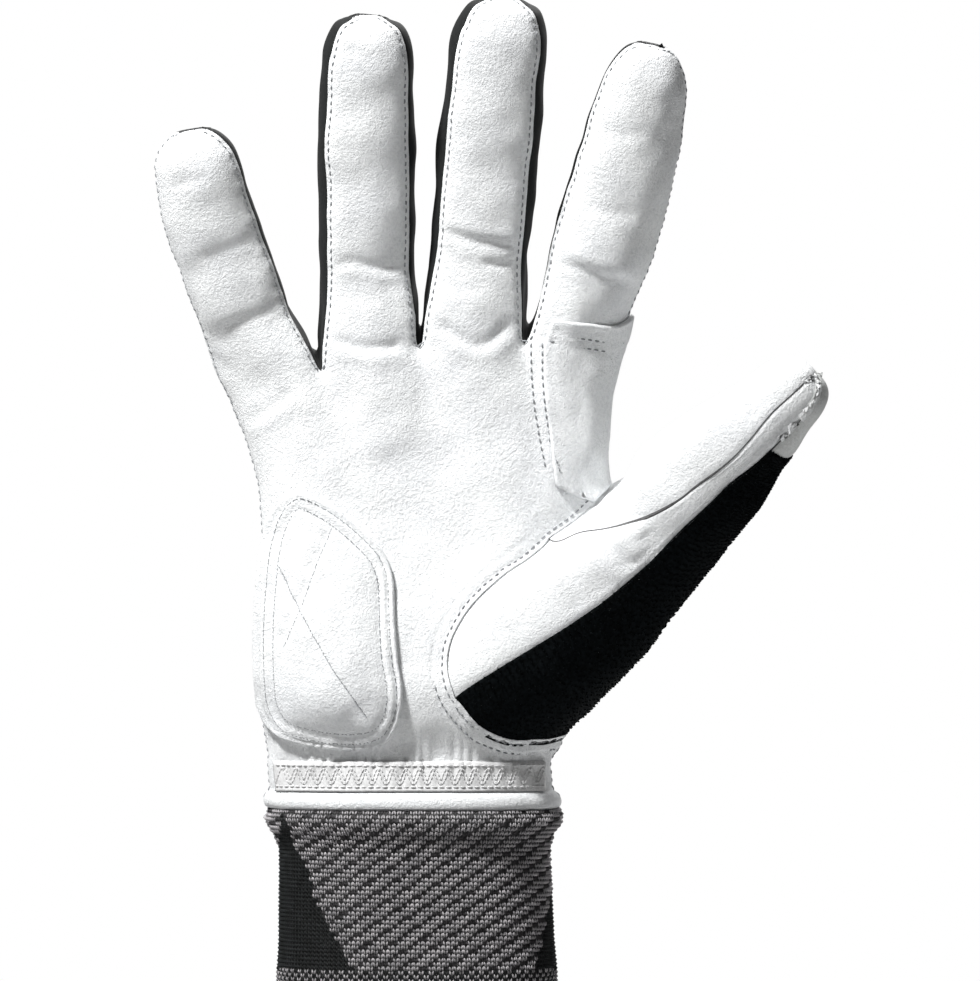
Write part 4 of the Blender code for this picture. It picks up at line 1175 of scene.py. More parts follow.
RIM_WIDTHS = (0.00014, 0.00026)
THUMB_RIM_WIDTHS = (0.00016, 0.00022)
GROOVE_DEPTH = 0.00028
GROOVE_WIDTH = 0.00055
PUCKER_LENGTH = 0.0043


def build_panel(hand, name, wall, edge_heights, lift, materials, rows_at=(), pucker=0.0,
                rims=RIM_WIDTHS):
    """One sewn panel: a closed wall whose border rolls over, with stitched grooves."""
    places, normals, rings, quads = stripped(hand.points, hand.members(name), rims)
    far, along = distances(border_index(border_lines(places, quads)), places)
    outer = np.full(len(places), lift)
    for ring, height in enumerate(edge_heights):
        outer[rings == ring] = height
    soft = np.clip(far / 0.0012, 0.0, 1.0)
    inside = rings == len(edge_heights)
    outer[inside] = edge_heights[-1] + (lift - edge_heights[-1]) * soft[inside]
    if rows_at:
        for towards, offsets in rows_at.items():
            lines = [hand.points[chain] for chain in panel_border(hand, name, towards)]
            if not lines:
                continue
            far, along = distances(border_index([smooth_path(line) for line in lines]), places)
            for offset in offsets:
                beat = 0.65 + 0.35 * np.cos(along / STITCH_PITCH * 2 * math.pi)
                outer -= GROOVE_DEPTH * bell(far - offset, GROOVE_WIDTH) * beat
            ripple = np.sin(along / PUCKER_LENGTH * 2 * math.pi + 2.0 * np.sin(along / 0.019))
            outer += pucker * ripple * bell(far, 0.0026) * np.clip(far / 0.0006, 0, 1)
    points, faces = closed_shell(places, normals, quads, outer, wall)
    kinds = None
    # A second material paints shade: the outermost strip and the walls take it, as the shadow along the seam.
    if len(materials) > 1:
        kinds = [int(min(rings[c] for c in quad) == 0) for quad in quads]
        kinds += [0] * len(quads) + [1] * (len(faces) - 2 * len(quads))
    return add_mesh(name + "_soft", points, faces, materials, kinds)


def capsule(start, end, normal, radius, sides=6):
    """A thread between two points, sunk at both ends."""
    axis = end - start
    length = np.linalg.norm(axis)
    axis = axis / max(length, 1e-9)
    side = np.cross(axis, normal)
    side /= max(np.linalg.norm(side), 1e-9)
    up = np.cross(side, axis)
    points, faces = [], []
    for share, thick, height in STITCH_STATIONS:
        middle = start + axis * length * share + up * radius * height
        for k in range(sides):
            turn = 2 * math.pi * k / sides
            points.append(middle + (side * math.cos(turn) + up * math.sin(turn)) * radius * thick)
    for ring in range(len(STITCH_STATIONS) - 1):
        for k in range(sides):
            a, b = ring * sides + k, ring * sides + (k + 1) % sides
            faces.append([a, b, b + sides, a + sides])
    faces.append(list(range(sides))[::-1])
    last = (len(STITCH_STATIONS) - 1) * sides
    faces.append([last + k for k in range(sides)])
    return points, faces


class Threads:
    """Stitches collected for one piece, laid on a surface tree."""

    def __init__(self, tree):
        self.tree = tree
        self.points = []
        self.faces = []

    def add(self, points, faces):
        base = len(self.points)
        self.points += [np.array(p) for p in points]
        self.faces += [[c + base for c in face] for face in faces]

    def on_surface(self, place):
        found, normal, _, _ = self.tree.find_nearest(Vector(place))
        return np.array(found), np.array(normal)

    def row(self, line, pitch=STITCH_PITCH, length=STITCH_LENGTH, radius=THREAD):
        """A row of stitches along a line of points near the surface."""
        line = resample(line, pitch)
        for first, last in zip(line, line[1:]):
            middle = (first + last) / 2
            step = last - first
            gap = np.linalg.norm(step)
            if gap < 1e-6:
                continue
            a, normal = self.on_surface(middle - step / gap * length / 2)
            b, _ = self.on_surface(middle + step / gap * length / 2)
            lift = normal * (radius * 0.35)
            self.add(*capsule(a + lift, b + lift, normal, radius))

    def seen_row(self, pixels, **options):
        """A row along pixels of the photograph, on the front that the camera sees."""
        line = []
        for px, py in pixels:
            place, _ = front_point(self.tree, *seen(px, py))
            if place is not None:
                line.append(place)
        if len(line) > 1:
            self.row(np.array(line), **options)

    def piece(self, name, material):
        return add_mesh(name, self.points, self.faces, [material])


def tree_from(points, faces):
    return BVHTree.FromPolygons([Vector(p) for p in points], [tuple(int(c) for c in f) for f in faces])


def tree_of(obj):
    mesh = obj.data
    points = [v.co.copy() for v in mesh.vertices]
    return BVHTree.FromPolygons(points, [tuple(p.vertices) for p in mesh.polygons])


def front_point(tree, x, z):
    """Where the camera's side of a surface lies at x and z, and its normal there."""
    place, normal, _, _ = tree.ray_cast(Vector((x, -1.0, z)), Vector((0, 1, 0)))
    if place is None:
        return None, None
    return np.array(place), np.array(normal)


def inset_line(hand, chain, offset):
    """A border chain moved into its panel by offset."""
    line = smooth_path(hand.points[chain], 4)
    normals = hand.normals[chain]
    steps = np.gradient(line, axis=0)
    inward = np.cross(normals, steps)
    inward /= np.maximum(np.linalg.norm(inward, axis=1), 1e-9)[:, None]
    return smooth_path(line + inward * offset, 3)


class Material:
    """A principled material, with short calls for the nodes that the cloths share."""

    def __init__(self, name, roughness, sheen=0.0, sheen_roughness=0.5, specular=0.3):
        self.material = bpy.data.materials.new(name)
        self.material.use_nodes = True
        self.nodes = self.material.node_tree.nodes
        self.links = self.material.node_tree.links
        self.shader = self.nodes["Principled BSDF"]
        for socket, value in (("Roughness", roughness), ("Metallic", 0.0), ("Sheen Weight", sheen),
                              ("Specular IOR Level", specular), ("Sheen Roughness", sheen_roughness)):
            self.shader.inputs[socket].default_value = value
        self.coords = self.nodes.new("ShaderNodeTexCoord").outputs["Object"]

    def noise(self, size, detail, rough=0.6):
        """Noise with lumps of about size metres."""
        node = self.nodes.new("ShaderNodeTexNoise")
        for socket, value in (("Scale", 1.0 / size), ("Detail", detail), ("Roughness", rough)):
            node.inputs[socket].default_value = value
        self.links.new(self.coords, node.inputs["Vector"])
        return node.outputs["Fac"]

    def ramp(self, value, low, dark, high, light):
        """A colour that goes from dark to light between two values."""
        node = self.nodes.new("ShaderNodeValToRGB")
        for element, place, colour in zip(node.color_ramp.elements, (low, high), (dark, light)):
            element.position = place
            element.color = (*colour, 1.0)
        self.links.new(value, node.inputs["Fac"])
        return node.outputs["Color"]

    def multiplied(self, first, second, factor):
        node = self.nodes.new("ShaderNodeMix")
        node.data_type = "RGBA"
        node.blend_type = "MULTIPLY"
        node.inputs[0].default_value = factor
        self.links.new(first, node.inputs[6])
        self.links.new(second, node.inputs[7])
        return node.outputs[2]

    def finished(self, colour, bumps=()):
        """Joins up the colour and the bumps: (height, strength, distance in metres)."""
        self.links.new(colour, self.shader.inputs["Base Color"])
        target = self.shader.inputs["Normal"]
        for height, strength, distance in reversed(bumps):
            node = self.nodes.new("ShaderNodeBump")
            node.inputs["Strength"].default_value = strength
            node.inputs["Distance"].default_value = distance
            self.links.new(height, node.inputs["Height"])
            self.links.new(node.outputs["Normal"], target)
            target = node.inputs["Normal"]
        return self.material


def grey(value):
    return (value, value, value)


def suede(name, bright, dull):
    """Napped white leather: fine fibres, soft blotches and faint grey wear."""
    made = Material(name, 0.9, 0.08, 0.6, 0.2)
    fibre = made.noise(0.00048, 3.0, 0.7)
    nap = made.noise(0.0010, 4.0, 0.62)
    cloud = made.noise(0.0046, 3.0)
    blotch = made.noise(0.016, 3.0, 0.5)
    tone = made.ramp(blotch, 0.32, dull, 0.62, bright)
    grain = made.ramp(nap, 0.34, (0.74, 0.75, 0.76), 0.56, grey(1.0))
    hairs = made.ramp(fibre, 0.30, (0.80, 0.81, 0.82), 0.55, grey(1.0))
    colour = made.multiplied(made.multiplied(tone, grain, 0.45), hairs, 0.45)
    return made.finished(colour, ((cloud, 0.3, 0.0006), (nap, 0.6, 0.0006), (fibre, 0.8, 0.00045)))


def ribbed_shell(name):
    """Black stretch fabric with fine upright ribs and a dull face."""
    made = Material(name, 0.75, 0.04, 0.45, 0.22)
    wave = made.nodes.new("ShaderNodeTexWave")
    wave.wave_type = "BANDS"
    wave.bands_direction = "X"
    for socket, value in (("Scale", 1.0 / SHELL_RIB_PITCH / 3.14159), ("Distortion", 0.4), ("Detail", 1.0)):
        wave.inputs[socket].default_value = value
    made.links.new(made.coords, wave.inputs["Vector"])
    weave = made.noise(0.0006, 2.0, 0.5)
    cloud = made.noise(0.02, 3.0, 0.5)
    tone = made.ramp(cloud, 0.35, (0.0045, 0.0052, 0.0056), 0.65, (0.0085, 0.0092, 0.0098))
    # Painted shade: the rib grooves, where the wave sinks the bump, are painted darker.
    ribs = made.ramp(wave.outputs["Fac"], 0.0, grey(0.45), 0.6, grey(1.0))
    bumps = ((wave.outputs["Fac"], 0.55, 0.0003), (weave, 0.4, 0.00015))
    return made.finished(made.multiplied(tone, ribs, 0.8), bumps)


def fleece(name, dark, light, size):
    """Black pile whose raised tufts are painted a little lighter, as a painted highlight."""
    made = Material(name, 1.0, 0.0, 0.6, 0.06)
    tuft = made.noise(size, 3.0)
    return made.finished(made.ramp(tuft, 0.35, dark, 0.7, light), ((tuft, 0.5, 0.0003),))


def yarn(name, dark, light):
    """Twisted yarn, the gaps between its strands painted darker than the strands, as painted shade."""
    made = Material(name, 0.85, 0.03, 0.5, 0.2)
    strand = made.noise(0.0005, 3.0)
    heather = made.noise(0.0028, 2.0)
    tone = made.ramp(heather, 0.35, dark, 0.65, light)
    # Painted shade: darker where the strand noise is low, which is also where the bump sinks.
    fine = made.ramp(strand, 0.35, grey(0.72), 0.65, grey(1.0))
    return made.finished(made.multiplied(tone, fine, 0.7), ((strand, 0.5, 0.0002),))


def plain_cloth(name, dark, light, size, roughness=0.85):
    made = Material(name, roughness, 0.02, 0.5, 0.25)
    grain = made.noise(size, 3.0)
    return made.finished(made.ramp(grain, 0.35, dark, 0.65, light), ((grain, 0.4, 0.0002),))


def patch_grid(outline, rings):
    """Points of rings from an outline to its middle, seen from the front, and faces."""
    outline = np.array(outline)
    middle = outline.mean(axis=0)
    count = len(outline)
    flat = [middle + share * (p - middle) for share in rings for p in outline] + [middle]
    faces = []
    for ring in range(len(rings) - 1):
        for side in range(count):
            a, b = ring * count + side, ring * count + (side + 1) % count
            faces.append([a, b, b + count, a + count])
    last = (len(rings) - 1) * count
    for side in range(count):
        faces.append([last + side, last + (side + 1) % count, last + count])
    return np.array(flat), faces


HEEL_OUTLINE_PX = [
    (299, 491), (312, 495), (328, 503), (343, 513), (358, 525), (372, 538), (384, 551),
    (391, 566), (395, 583), (396, 610), (397, 640), (399, 662), (403, 680), (404, 700),
    (400, 720), (389, 738), (372, 746), (350, 748), (325, 746), (300, 741), (282, 735),
    (270, 722), (262, 704), (260, 680), (259, 655), (259, 630), (260, 605), (262, 580),
    (264, 558), (268, 536), (274, 517), (284, 500),
]
HEEL_CROSS_PX = (
    [(333, 527), (326, 545), (318, 563), (311, 583), (303, 606), (294, 626), (285, 646)],
    [(280, 565), (289, 583), (297, 600), (306, 617), (315, 634), (335, 668), (353, 693), (369, 716)],
)
HEEL_OUTLINE_POINTS = 240
HEEL_STITCH_OFFSETS = (0.0015, 0.0040)
HEEL_RINGS = [
    1.0, 0.995, 0.985, 0.965, 0.94, 0.91, 0.88, 0.85, 0.82, 0.79, 0.76, 0.72, 0.68, 0.64,
    0.60, 0.56, 0.52, 0.48, 0.44, 0.40, 0.36, 0.32, 0.28, 0.24, 0.20, 0.15, 0.10, 0.05,
]

# Heights of the two patches over the palm, by the distance from their edge.
HEEL_PROFILE = [
    (0.0, 0.0006), (0.0003, 0.0019), (0.0008, 0.0024), (0.0015, 0.0017), (0.0028, 0.0022),
    (0.0040, 0.0017), (0.0060, 0.0021), (0.011, 0.0026),
]
INDEX_PROFILE = [(0.0, 0.0008), (0.0002, 0.0015), (0.0006, 0.0017), (0.0014, 0.0014), (0.0022, 0.0013)]
INDEX_RIM = 0.0002
INDEX_GROOVE_DEPTH = 0.00030
INDEX_GROOVE_WIDTH = 0.0006

# Grooves of the heel patch: along its rows of stitches, and the wide and the sharp part
# of its crossed quilting, with the ripples that the thread pulls up beside it.
HEEL_GROOVE_DEPTH = 0.00032
HEEL_GROOVE_WIDTH = 0.0005
QUILTING = ((0.00030, 0.0014), (0.00015, 0.0005))
QUILT_RIPPLE = 0.00010
INDEX_STITCH_PX = (
    [(548, 330), (577, 339), (600, 342), (624, 343)],
    [(548, 341), (584, 349), (606, 352), (625, 352)],
    [(531, 342), (531, 375), (534, 410), (540, 444), (545, 468)],
    [(542, 342), (542, 375), (545, 410), (550, 444), (556, 463), (560, 473)],
)


# The patch's foot, cut across the web beside the thumb.
INDEX_PATCH_FOOT_PX = [(531, 452), (538, 470), (548, 482), (563, 492), (600, 506)]
INDEX_PATCH_RISE = 0.006
PALM_THREAD_LIFT = 0.00038


def tidy_loop(pixels, count):
    """An outline through pixels, evenly spaced and rounded, as x and z."""
    corners = np.array([seen(px, py) for px, py in pixels])
    corners = np.vstack([corners, corners[:1]])
    run = run_along(corners)
    places = np.arange(count) * run[-1] / count
    loop = np.column_stack([np.interp(places, run, corners[:, k]) for k in range(2)])
    for _ in range(3):
        loop = (np.roll(loop, 1, 0) + 2 * loop + np.roll(loop, -1, 0)) / 4
    return loop


def build_heel_pad(base_tree, leather, thread):
    """The quilted patch over the heel of the hand: soft crown, sewn rim, crossed rows."""
    outline = tidy_loop(HEEL_OUTLINE_PX, HEEL_OUTLINE_POINTS)
    flat, faces = patch_grid(outline, HEEL_RINGS)
    places, normals = [], []
    for x, z in flat:
        place, normal = front_point(base_tree, x, z)
        places.append(place)
        normals.append(normal)
    places, normals = np.array(places), np.array(normals)
    closed = np.vstack([outline, outline[:1]])
    far, along = line_distance(flat[:, 0], flat[:, 1], closed)
    run = along * np.linalg.norm(np.diff(closed, axis=0), axis=1).sum()
    height = np.interp(far, *zip(*HEEL_PROFILE))
    beat = 0.6 + 0.4 * np.cos(run / STITCH_PITCH * 2 * math.pi)
    for offset in HEEL_STITCH_OFFSETS:
        height -= HEEL_GROOVE_DEPTH * bell(far - offset, HEEL_GROOVE_WIDTH) * beat
    for line in HEEL_CROSS_PX:
        line = [seen(px, py) for px, py in line]
        near, place = line_distance(flat[:, 0], flat[:, 1], line)
        ends = np.clip(np.minimum(place, 1 - place) / 0.05, 0.3, 1.0)
        for depth, width in QUILTING:
            height -= depth * bell(near, width) * ends
        pull = np.sin(place * 46.0) * bell(near, 0.004)
        height += QUILT_RIPPLE * pull
    solid = np.array([[p[0], 0.0, p[1]] for p in flat])
    height += noise_values(solid, 0.0075, 5) * 0.00022 * np.clip(far / 0.004, 0, 1)
    height += noise_values(solid, 0.0032, 6) * 0.00009
    points, walls = closed_shell(places, normals, faces, height, -0.00035)
    pad = add_mesh("heel_pad_soft", points, walls, [leather])
    top = tree_from(points[: len(flat)], faces)
    threads = Threads(top)
    middle = outline.mean(axis=0)
    for offset in HEEL_STITCH_OFFSETS:
        line = []
        for number in range(len(outline) + 1):
            p = outline[number % len(outline)]
            ahead = outline[(number + 2) % len(outline)] - outline[(number - 2) % len(outline)]
            inward = np.array((-ahead[1], ahead[0]))
            inward /= np.linalg.norm(inward)
            if inward.dot(middle - p) < 0:
                inward = -inward
            place, _ = front_point(top, *(p + inward * offset))
            if place is not None:
                line.append(place)
        threads.row(np.array(line))
    for line in HEEL_CROSS_PX:
        threads.seen_row(line)
    return pad, threads.piece("heel_pad_stitching", thread)


def build_index_patch(hand, leather, thread):
    """The thin patch over the index finger's root, its edge ridged over the palm."""
    rows, surface = hand.rows, hand.surface
    wanted = set()
    for below, above in zip(rows[HOLE_TOP_ROW:], rows[HOLE_TOP_ROW + 1:]):
        lower, upper = [*below.front, below.radial], [*above.front, above.radial]
        wanted.update(hand.faces_between(lower, upper, range(INDEX_PATCH_COLUMN, COLUMNS + 1)))
    last = rows[-1]
    points_above = {*last.front[INDEX_PATCH_COLUMN:], last.radial}
    foot = surface.points[last.front[-1]][2] - INDEX_PATCH_RISE
    for number, (face, panel) in enumerate(zip(surface.faces, surface.panels)):
        if panel != "palm_panel" or number in wanted:
            continue
        meets_root = len(points_above.intersection(face)) == 2 and not points_above.issuperset(face)
        high = all(surface.points[c][2] >= foot for c in face)
        if meets_root and high and not set(face).intersection(rows[-2].front):
            wanted.add(number)
    bm = sheet_of(hand.points, hand.quads[np.isin(hand.source, list(wanted))])
    for start, end in zip(INDEX_PATCH_FOOT_PX, INDEX_PATCH_FOOT_PX[1:]):
        a, b = seen(*start), seen(*end)
        normal = Vector((-(b[1] - a[1]), 0.0, b[0] - a[0])).normalized()
        bmesh.ops.bisect_plane(bm, geom=[*bm.verts, *bm.edges, *bm.faces], plane_co=(a[0], 0.0, a[1]),
                               plane_no=normal, clear_inner=True)
    bmesh.ops.recalc_face_normals(bm, faces=bm.faces)
    bm.normal_update()
    if sum(f.normal.y for f in bm.faces) > 0:
        bmesh.ops.reverse_faces(bm, faces=bm.faces)
    bmesh.ops.inset_region(bm, faces=bm.faces, thickness=INDEX_RIM, use_boundary=True, use_even_offset=True)
    places, normals, quads = sheet_arrays(bm)
    far, _ = distances(border_index(border_lines(places, quads)), places)
    height = np.interp(far, *zip(*INDEX_PROFILE))
    for line in INDEX_STITCH_PX:
        near, _ = line_distance(places[:, 0], places[:, 2], [seen(px, py) for px, py in line])
        facing = np.clip(-normals[:, 1] * 2, 0, 1)
        height -= INDEX_GROOVE_DEPTH * bell(near, INDEX_GROOVE_WIDTH) * facing
    points, walls = closed_shell(places, normals, quads, height, -0.0005)
    patch = add_mesh("index_patch_soft", points, walls, [leather])
    first = len(points)
    palm = [[c + first for c in q] for q in hand.members("palm_panel")]
    threads = Threads(tree_from([*points, *(hand.points + hand.normals * PALM_THREAD_LIFT)], [*walls, *palm]))
    for line in INDEX_STITCH_PX:
        threads.seen_row(line)
    return patch, threads.piece("index_patch_stitching", thread)


# The stitched field of the elastic tape, left, right, top and foot, and an arc's width.
TAPE_PX = (277.0, 549.0, 763.0, 784.0)
TAPE_ARC_PX = 13.6
TAPE_CORDS = 7
TAPE_HEIGHT = 0.00115
TAPE_CORD_HEIGHT = 0.00010
TAPE_RIPPLE = 0.00016


def build_elastic(hand, tape, thread):
    """The elastic tape over the wrist, with its lengthwise cords and crossed stitching."""
    lower, upper = hand.rows[1], hand.rows[2]
    wanted = hand.faces_between(lower.front, upper.front, range(COLUMNS))
    chosen = hand.quads[np.isin(hand.source, wanted)]
    places, normals, rings, quads = stripped(hand.points, chosen, (0.0002,))
    z = places[:, 2]
    foot, top = z.min(), z.max()
    share = (z - foot) / (top - foot)
    cords = np.cos(share * TAPE_CORDS * 2 * math.pi)
    x = places[:, 0]
    height = TAPE_HEIGHT + TAPE_CORD_HEIGHT * cords
    ripple = np.sin(x / 0.0036 * 2 * math.pi + 3 * np.sin(x / 0.02))
    height += TAPE_RIPPLE * ripple * np.sin(share * math.pi)
    height[rings == 0] = 0.0005
    points, walls = closed_shell(places, normals, quads, height, -0.0003)
    elastic = add_mesh("wrist_elastic_tape", points, walls, [tape])
    threads = Threads(tree_of(elastic))
    left, right, high, low = TAPE_PX
    pitch = TAPE_ARC_PX
    count = int((right - left) / pitch)
    for start in (0.0, 0.5):
        for number in range(count):
            first = left + (number + start) * pitch
            arc = []
            for step in range(9):
                turn = step / 8
                px = first + pitch * 1.15 * turn
                bow = math.sin(turn * math.pi)
                if start == 0.0:
                    py = high + 2.0 + (low - high - 4.0) * (1.0 - bow)
                else:
                    py = high + 2.0 + (low - high - 4.0) * bow
                arc.append((min(px, right), py))
            threads.seen_row(arc, pitch=0.0011, length=0.00112, radius=0.00015)
    for py in (high, low):
        line = [(left + k * (right - left) / 60, py) for k in range(61)]
        threads.seen_row(line, pitch=0.0018, length=0.0016)
    return elastic, threads.piece("wrist_elastic_stitching", thread)


WALE = 0.00126
COURSE = 0.00104
RIB_SLOPE = math.radians(33.0)
RIB_PITCH = 0.0032
YARN_WIDTH = 0.00030
YARN_THICKNESS = 0.00026
CUFF_OUTLINE_STEPS = 720
CUFF_TUBE_SIDES = 132
CUFF_TUBE_ROWS = 40
CUFF_TUBE_LIFT = -0.00035
CUFF_SEED = 7
STITCH_RISE = 0.00006
RIB_RISE = 0.00026
YARN_JITTER = 0.00005

# Numbers of the cuff's materials, the rib level below which a groove's stitches take the dark grey yarn,
# partly painted shade of the groove, and the share of the way round where the white seam of stitches lies.
LIGHT, DARK, BLACK, WHITE, INNER = range(5)
GROOVE_SHADE_LEVEL = -0.62
WHITE_SEAM = (0.484, 0.503)
LEFT_WEDGE_PX = [
    (283, 806), (299, 848), (311, 868), (316, 891), (325, 912), (335, 930), (344, 946), (357, 966),
    (270, 966),
]
RIGHT_WEDGE_PX = [(560, 880), (551, 890), (545, 920), (540, 945), (533, 967), (575, 967), (575, 870)]


def inside(x, z, polygon):
    result = False
    for k in range(len(polygon)):
        (ax, az), (bx, bz) = polygon[k - 1], polygon[k]
        if (az > z) != (bz > z) and x < (bx - ax) * (z - az) / (bz - az) + ax:
            result = not result
    return result


class Cuff:
    """The cuff's outer outline, by height and by share of the way round it."""

    def __init__(self):
        self.rings = cuff_rings()
        self.heights = [r[0] for r in self.rings]
        turns = np.linspace(0.0, 2.0 * math.pi, CUFF_OUTLINE_STEPS + 1)
        self.outline = np.array([rounded(t, PALM_ROUNDNESS) for t in turns])
        self.run = run_along(self.outline * (CUFF_WIDTH / 2, CUFF_DEPTH / 2))
        self.length = self.run[-1]

    def sizes(self, z):
        return [np.interp(z, self.heights, [r[k] for r in self.rings]) for k in (1, 2, 3)]

    def point(self, share, z, lift=0.0):
        place = (share % 1.0) * self.length
        across = np.interp(place, self.run, self.outline[:, 0])
        ahead = np.interp(place, self.run, self.outline[:, 1])
        half_width, half_depth, middle = self.sizes(z)
        normal = np.array((across / half_width, -ahead / half_depth, 0.0))
        size = np.array((across * half_width, -ahead * half_depth, 0.0))
        normal = normal / np.linalg.norm(normal)
        return np.array((middle, 0.0, z)) + size + normal * lift, normal


def rib_height(x, z, front):
    """Height of the slanting ribs, from -1 in a groove to 1 on a rib."""
    phase = (x * math.sin(RIB_SLOPE) - z * math.cos(RIB_SLOPE)) / RIB_PITCH
    if not front:
        phase = (-x * math.sin(RIB_SLOPE) - z * math.cos(RIB_SLOPE)) / RIB_PITCH
    return math.cos(phase * 2 * math.pi)


def stitch_colour(x, z, share, wale, course, rib):
    """Which yarn a stitch is knitted from. The dark grey in the rib grooves is partly painted shade of the
    groove.
    """
    if z <= 0.0006:
        return DARK
    if z < HEM_HEIGHT + 0.0010:
        return LIGHT if (wale + course) % 2 else BLACK
    left = [seen(px, py) for px, py in LEFT_WEDGE_PX]
    right = [seen(px, py) for px, py in RIGHT_WEDGE_PX]
    if WHITE_SEAM[0] < share < WHITE_SEAM[1]:
        return WHITE
    if inside(x, z, left) or inside(x, z, right):
        return BLACK
    # Stitches deep in a groove take the dark grey: partly the yarn's darker tone, partly painted shade of the
    # groove.
    return DARK if rib < GROOVE_SHADE_LEVEL else LIGHT


def build_cuff(materials):
    """The cuff as rows of knitted stitches over a plain inner tube."""
    cuff = Cuff()
    wales = int(cuff.length / WALE)
    courses = int(CUFF_LENGTH / COURSE)
    points, faces, kinds = [], [], []
    around, tall = CUFF_TUBE_SIDES, CUFF_TUBE_ROWS
    for lift in (CUFF_TUBE_LIFT, -CUFF_WALL):
        for row in range(tall + 1):
            for side in range(around):
                place, _ = cuff.point(side / around, CUFF_LENGTH * row / tall, lift)
                points.append(place)
    count = (tall + 1) * around
    for row in range(tall):
        for side in range(around):
            a, b = row * around + side, row * around + (side + 1) % around
            faces += [[b, a, a + around, b + around],
                      [a + count, b + count, b + around + count, a + around + count]]
            kinds += [INNER, INNER]
    for side in range(around):
        after = (side + 1) % around
        top = tall * around
        faces += [[side, after, after + count, side + count],
                  [top + after, top + side, top + side + count, top + after + count]]
        kinds += [INNER, INNER]
    randoms = np.random.default_rng(CUFF_SEED).uniform(-1.0, 1.0, (courses, wales, 2))
    for course in range(courses):
        z = (course + 0.5) * CUFF_LENGTH / courses
        for wale in range(wales):
            middle, _ = cuff.point((wale + 0.5) / wales, z)
            front = middle[1] < 0
            rib = rib_height(middle[0], z, front)
            kind = stitch_colour(middle[0], z, (wale + 0.5) / wales, wale, course, rib)
            height = STITCH_RISE + (RIB_RISE * rib if kind in (LIGHT, DARK) and z > HEM_HEIGHT else 0.0)
            jitter = randoms[course, wale] * YARN_JITTER
            for leg in (-1, 1):
                foot, normal = cuff.point((wale + 0.5 + leg * 0.10) / wales, z - 0.62 * COURSE,
                                          height - 0.00020)
                head, _ = cuff.point((wale + 0.5 + leg * 0.42) / wales, z + 0.62 * COURSE, height - 0.00008)
                belly, _ = cuff.point((wale + 0.5 + leg * 0.30) / wales, z + jitter[0], height + jitter[1])
                axis = head - foot
                side = np.cross(axis, normal)
                side /= np.linalg.norm(side)
                side, out = side * YARN_WIDTH, normal * YARN_THICKNESS
                base = len(points)
                points += [foot, belly + side, belly + out, belly - side, belly - out, head]
                for k in range(4):
                    a, b = base + 1 + k, base + 1 + (k + 1) % 4
                    faces += [[base, b, a], [base + 5, a, b]]
                    kinds += [kind, kind]
    return add_mesh("knit_cuff_stitches", points, faces, materials, kinds)


TERRY_SEED = 5
TERRY_LIFT = 0.00010
TERRY_LUMPS = 0.00012
TUFT_HEIGHTS = (0.00025, 0.00048)
TUFT_BENDS = (0.0001, 0.00030)
TUFT_FOOT = (-0.0002, 0.00026)
TUFT_BELLY_WIDTH = 0.00024


def build_terry(hand, pile):
    """The thumb's terry back: a soft wall covered with short curled tufts."""
    places, normals, rings, quads = stripped(hand.points, hand.members("thumb_terry_back"), RIM_WIDTHS)
    outer = np.full(len(places), TERRY_LIFT)
    outer[rings == 0] = -0.0004
    outer[rings == 1] = -0.0001
    outer += noise_values(places, 0.0022, 11) * TERRY_LUMPS
    points, faces = closed_shell(places, normals, quads, outer, TERRY_WALL)
    points, faces = [np.array(p) for p in points], list(faces)
    rng = np.random.default_rng(TERRY_SEED)
    lifted = places + normals * outer[:, None]
    for quad in quads:
        if min(rings[c] for c in quad) == 0:
            continue
        corners = lifted[quad]
        mix = rng.dirichlet(np.ones(len(quad)) * 2.5)
        foot = mix @ corners
        normal = mix @ normals[quad]
        normal /= np.linalg.norm(normal)
        turn = rng.uniform(0, 2 * math.pi)
        side = np.cross(normal, (math.cos(turn), 0.3, math.sin(turn)))
        side /= np.linalg.norm(side)
        across = np.cross(normal, side)
        tall = rng.uniform(*TUFT_HEIGHTS)
        bend = rng.uniform(*TUFT_BENDS)
        base = len(points)
        for height, shift, wide in ((TUFT_FOOT[0], 0.0, TUFT_FOOT[1]), (0.6 * tall, bend, TUFT_BELLY_WIDTH)):
            for k in range(3):
                angle = 2 * math.pi * k / 3
                spot = foot + normal * height + side * shift
                points.append(spot + (side * math.cos(angle) + across * math.sin(angle)) * wide)
        points.append(foot + normal * tall + side * bend * 1.8)
        for k in range(3):
            a, b = base + k, base + (k + 1) % 3
            faces += [[a, b, b + 3, a + 3], [a + 3, b + 3, base + 6]]
        faces.append([base + 2, base + 1, base])
    return add_mesh("thumb_terry_pile", points, faces, [pile])


FLOOR_Z = -0.32
FLOOR_RADIUS = 2.6


def build_stage():
    """A pale round floor below the glove."""
    sides, rings = 64, 6
    points, faces = [(0.0, 0.0, FLOOR_Z)], []
    for ring in range(1, rings + 1):
        radius = FLOOR_RADIUS * ring / rings
        for k in range(sides):
            turn = 2 * math.pi * k / sides
            points.append((radius * math.cos(turn), radius * math.sin(turn), FLOOR_Z))
    for k in range(sides):
        after = (k + 1) % sides
        faces.append([0, 1 + k, 1 + after])
        for ring in range(rings - 1):
            a, b = 1 + ring * sides + k, 1 + ring * sides + after
            faces.append([a, a + sides, b + sides, b])
    made = Material("pale_floor", 0.9)
    tone = made.ramp(made.noise(0.35, 2.0, 0.5), 0.3, grey(0.88), 0.7, grey(0.91))
    add_mesh("floor", points, faces, [made.finished(tone)])


def add_light(name, place, target, size, power, spread):
    light = bpy.data.lights.new(name, "AREA")
    light.shape = "SQUARE"
    light.size = size
    light.energy = power
    light.spread = math.radians(spread)
    obj = bpy.data.objects.new(name, light)
    obj.location = place
    obj.rotation_euler = (Vector(target) - Vector(place)).to_track_quat("-Z", "Y").to_euler()
    bpy.context.scene.collection.objects.link(obj)


ROOM_STRENGTH = 0.11

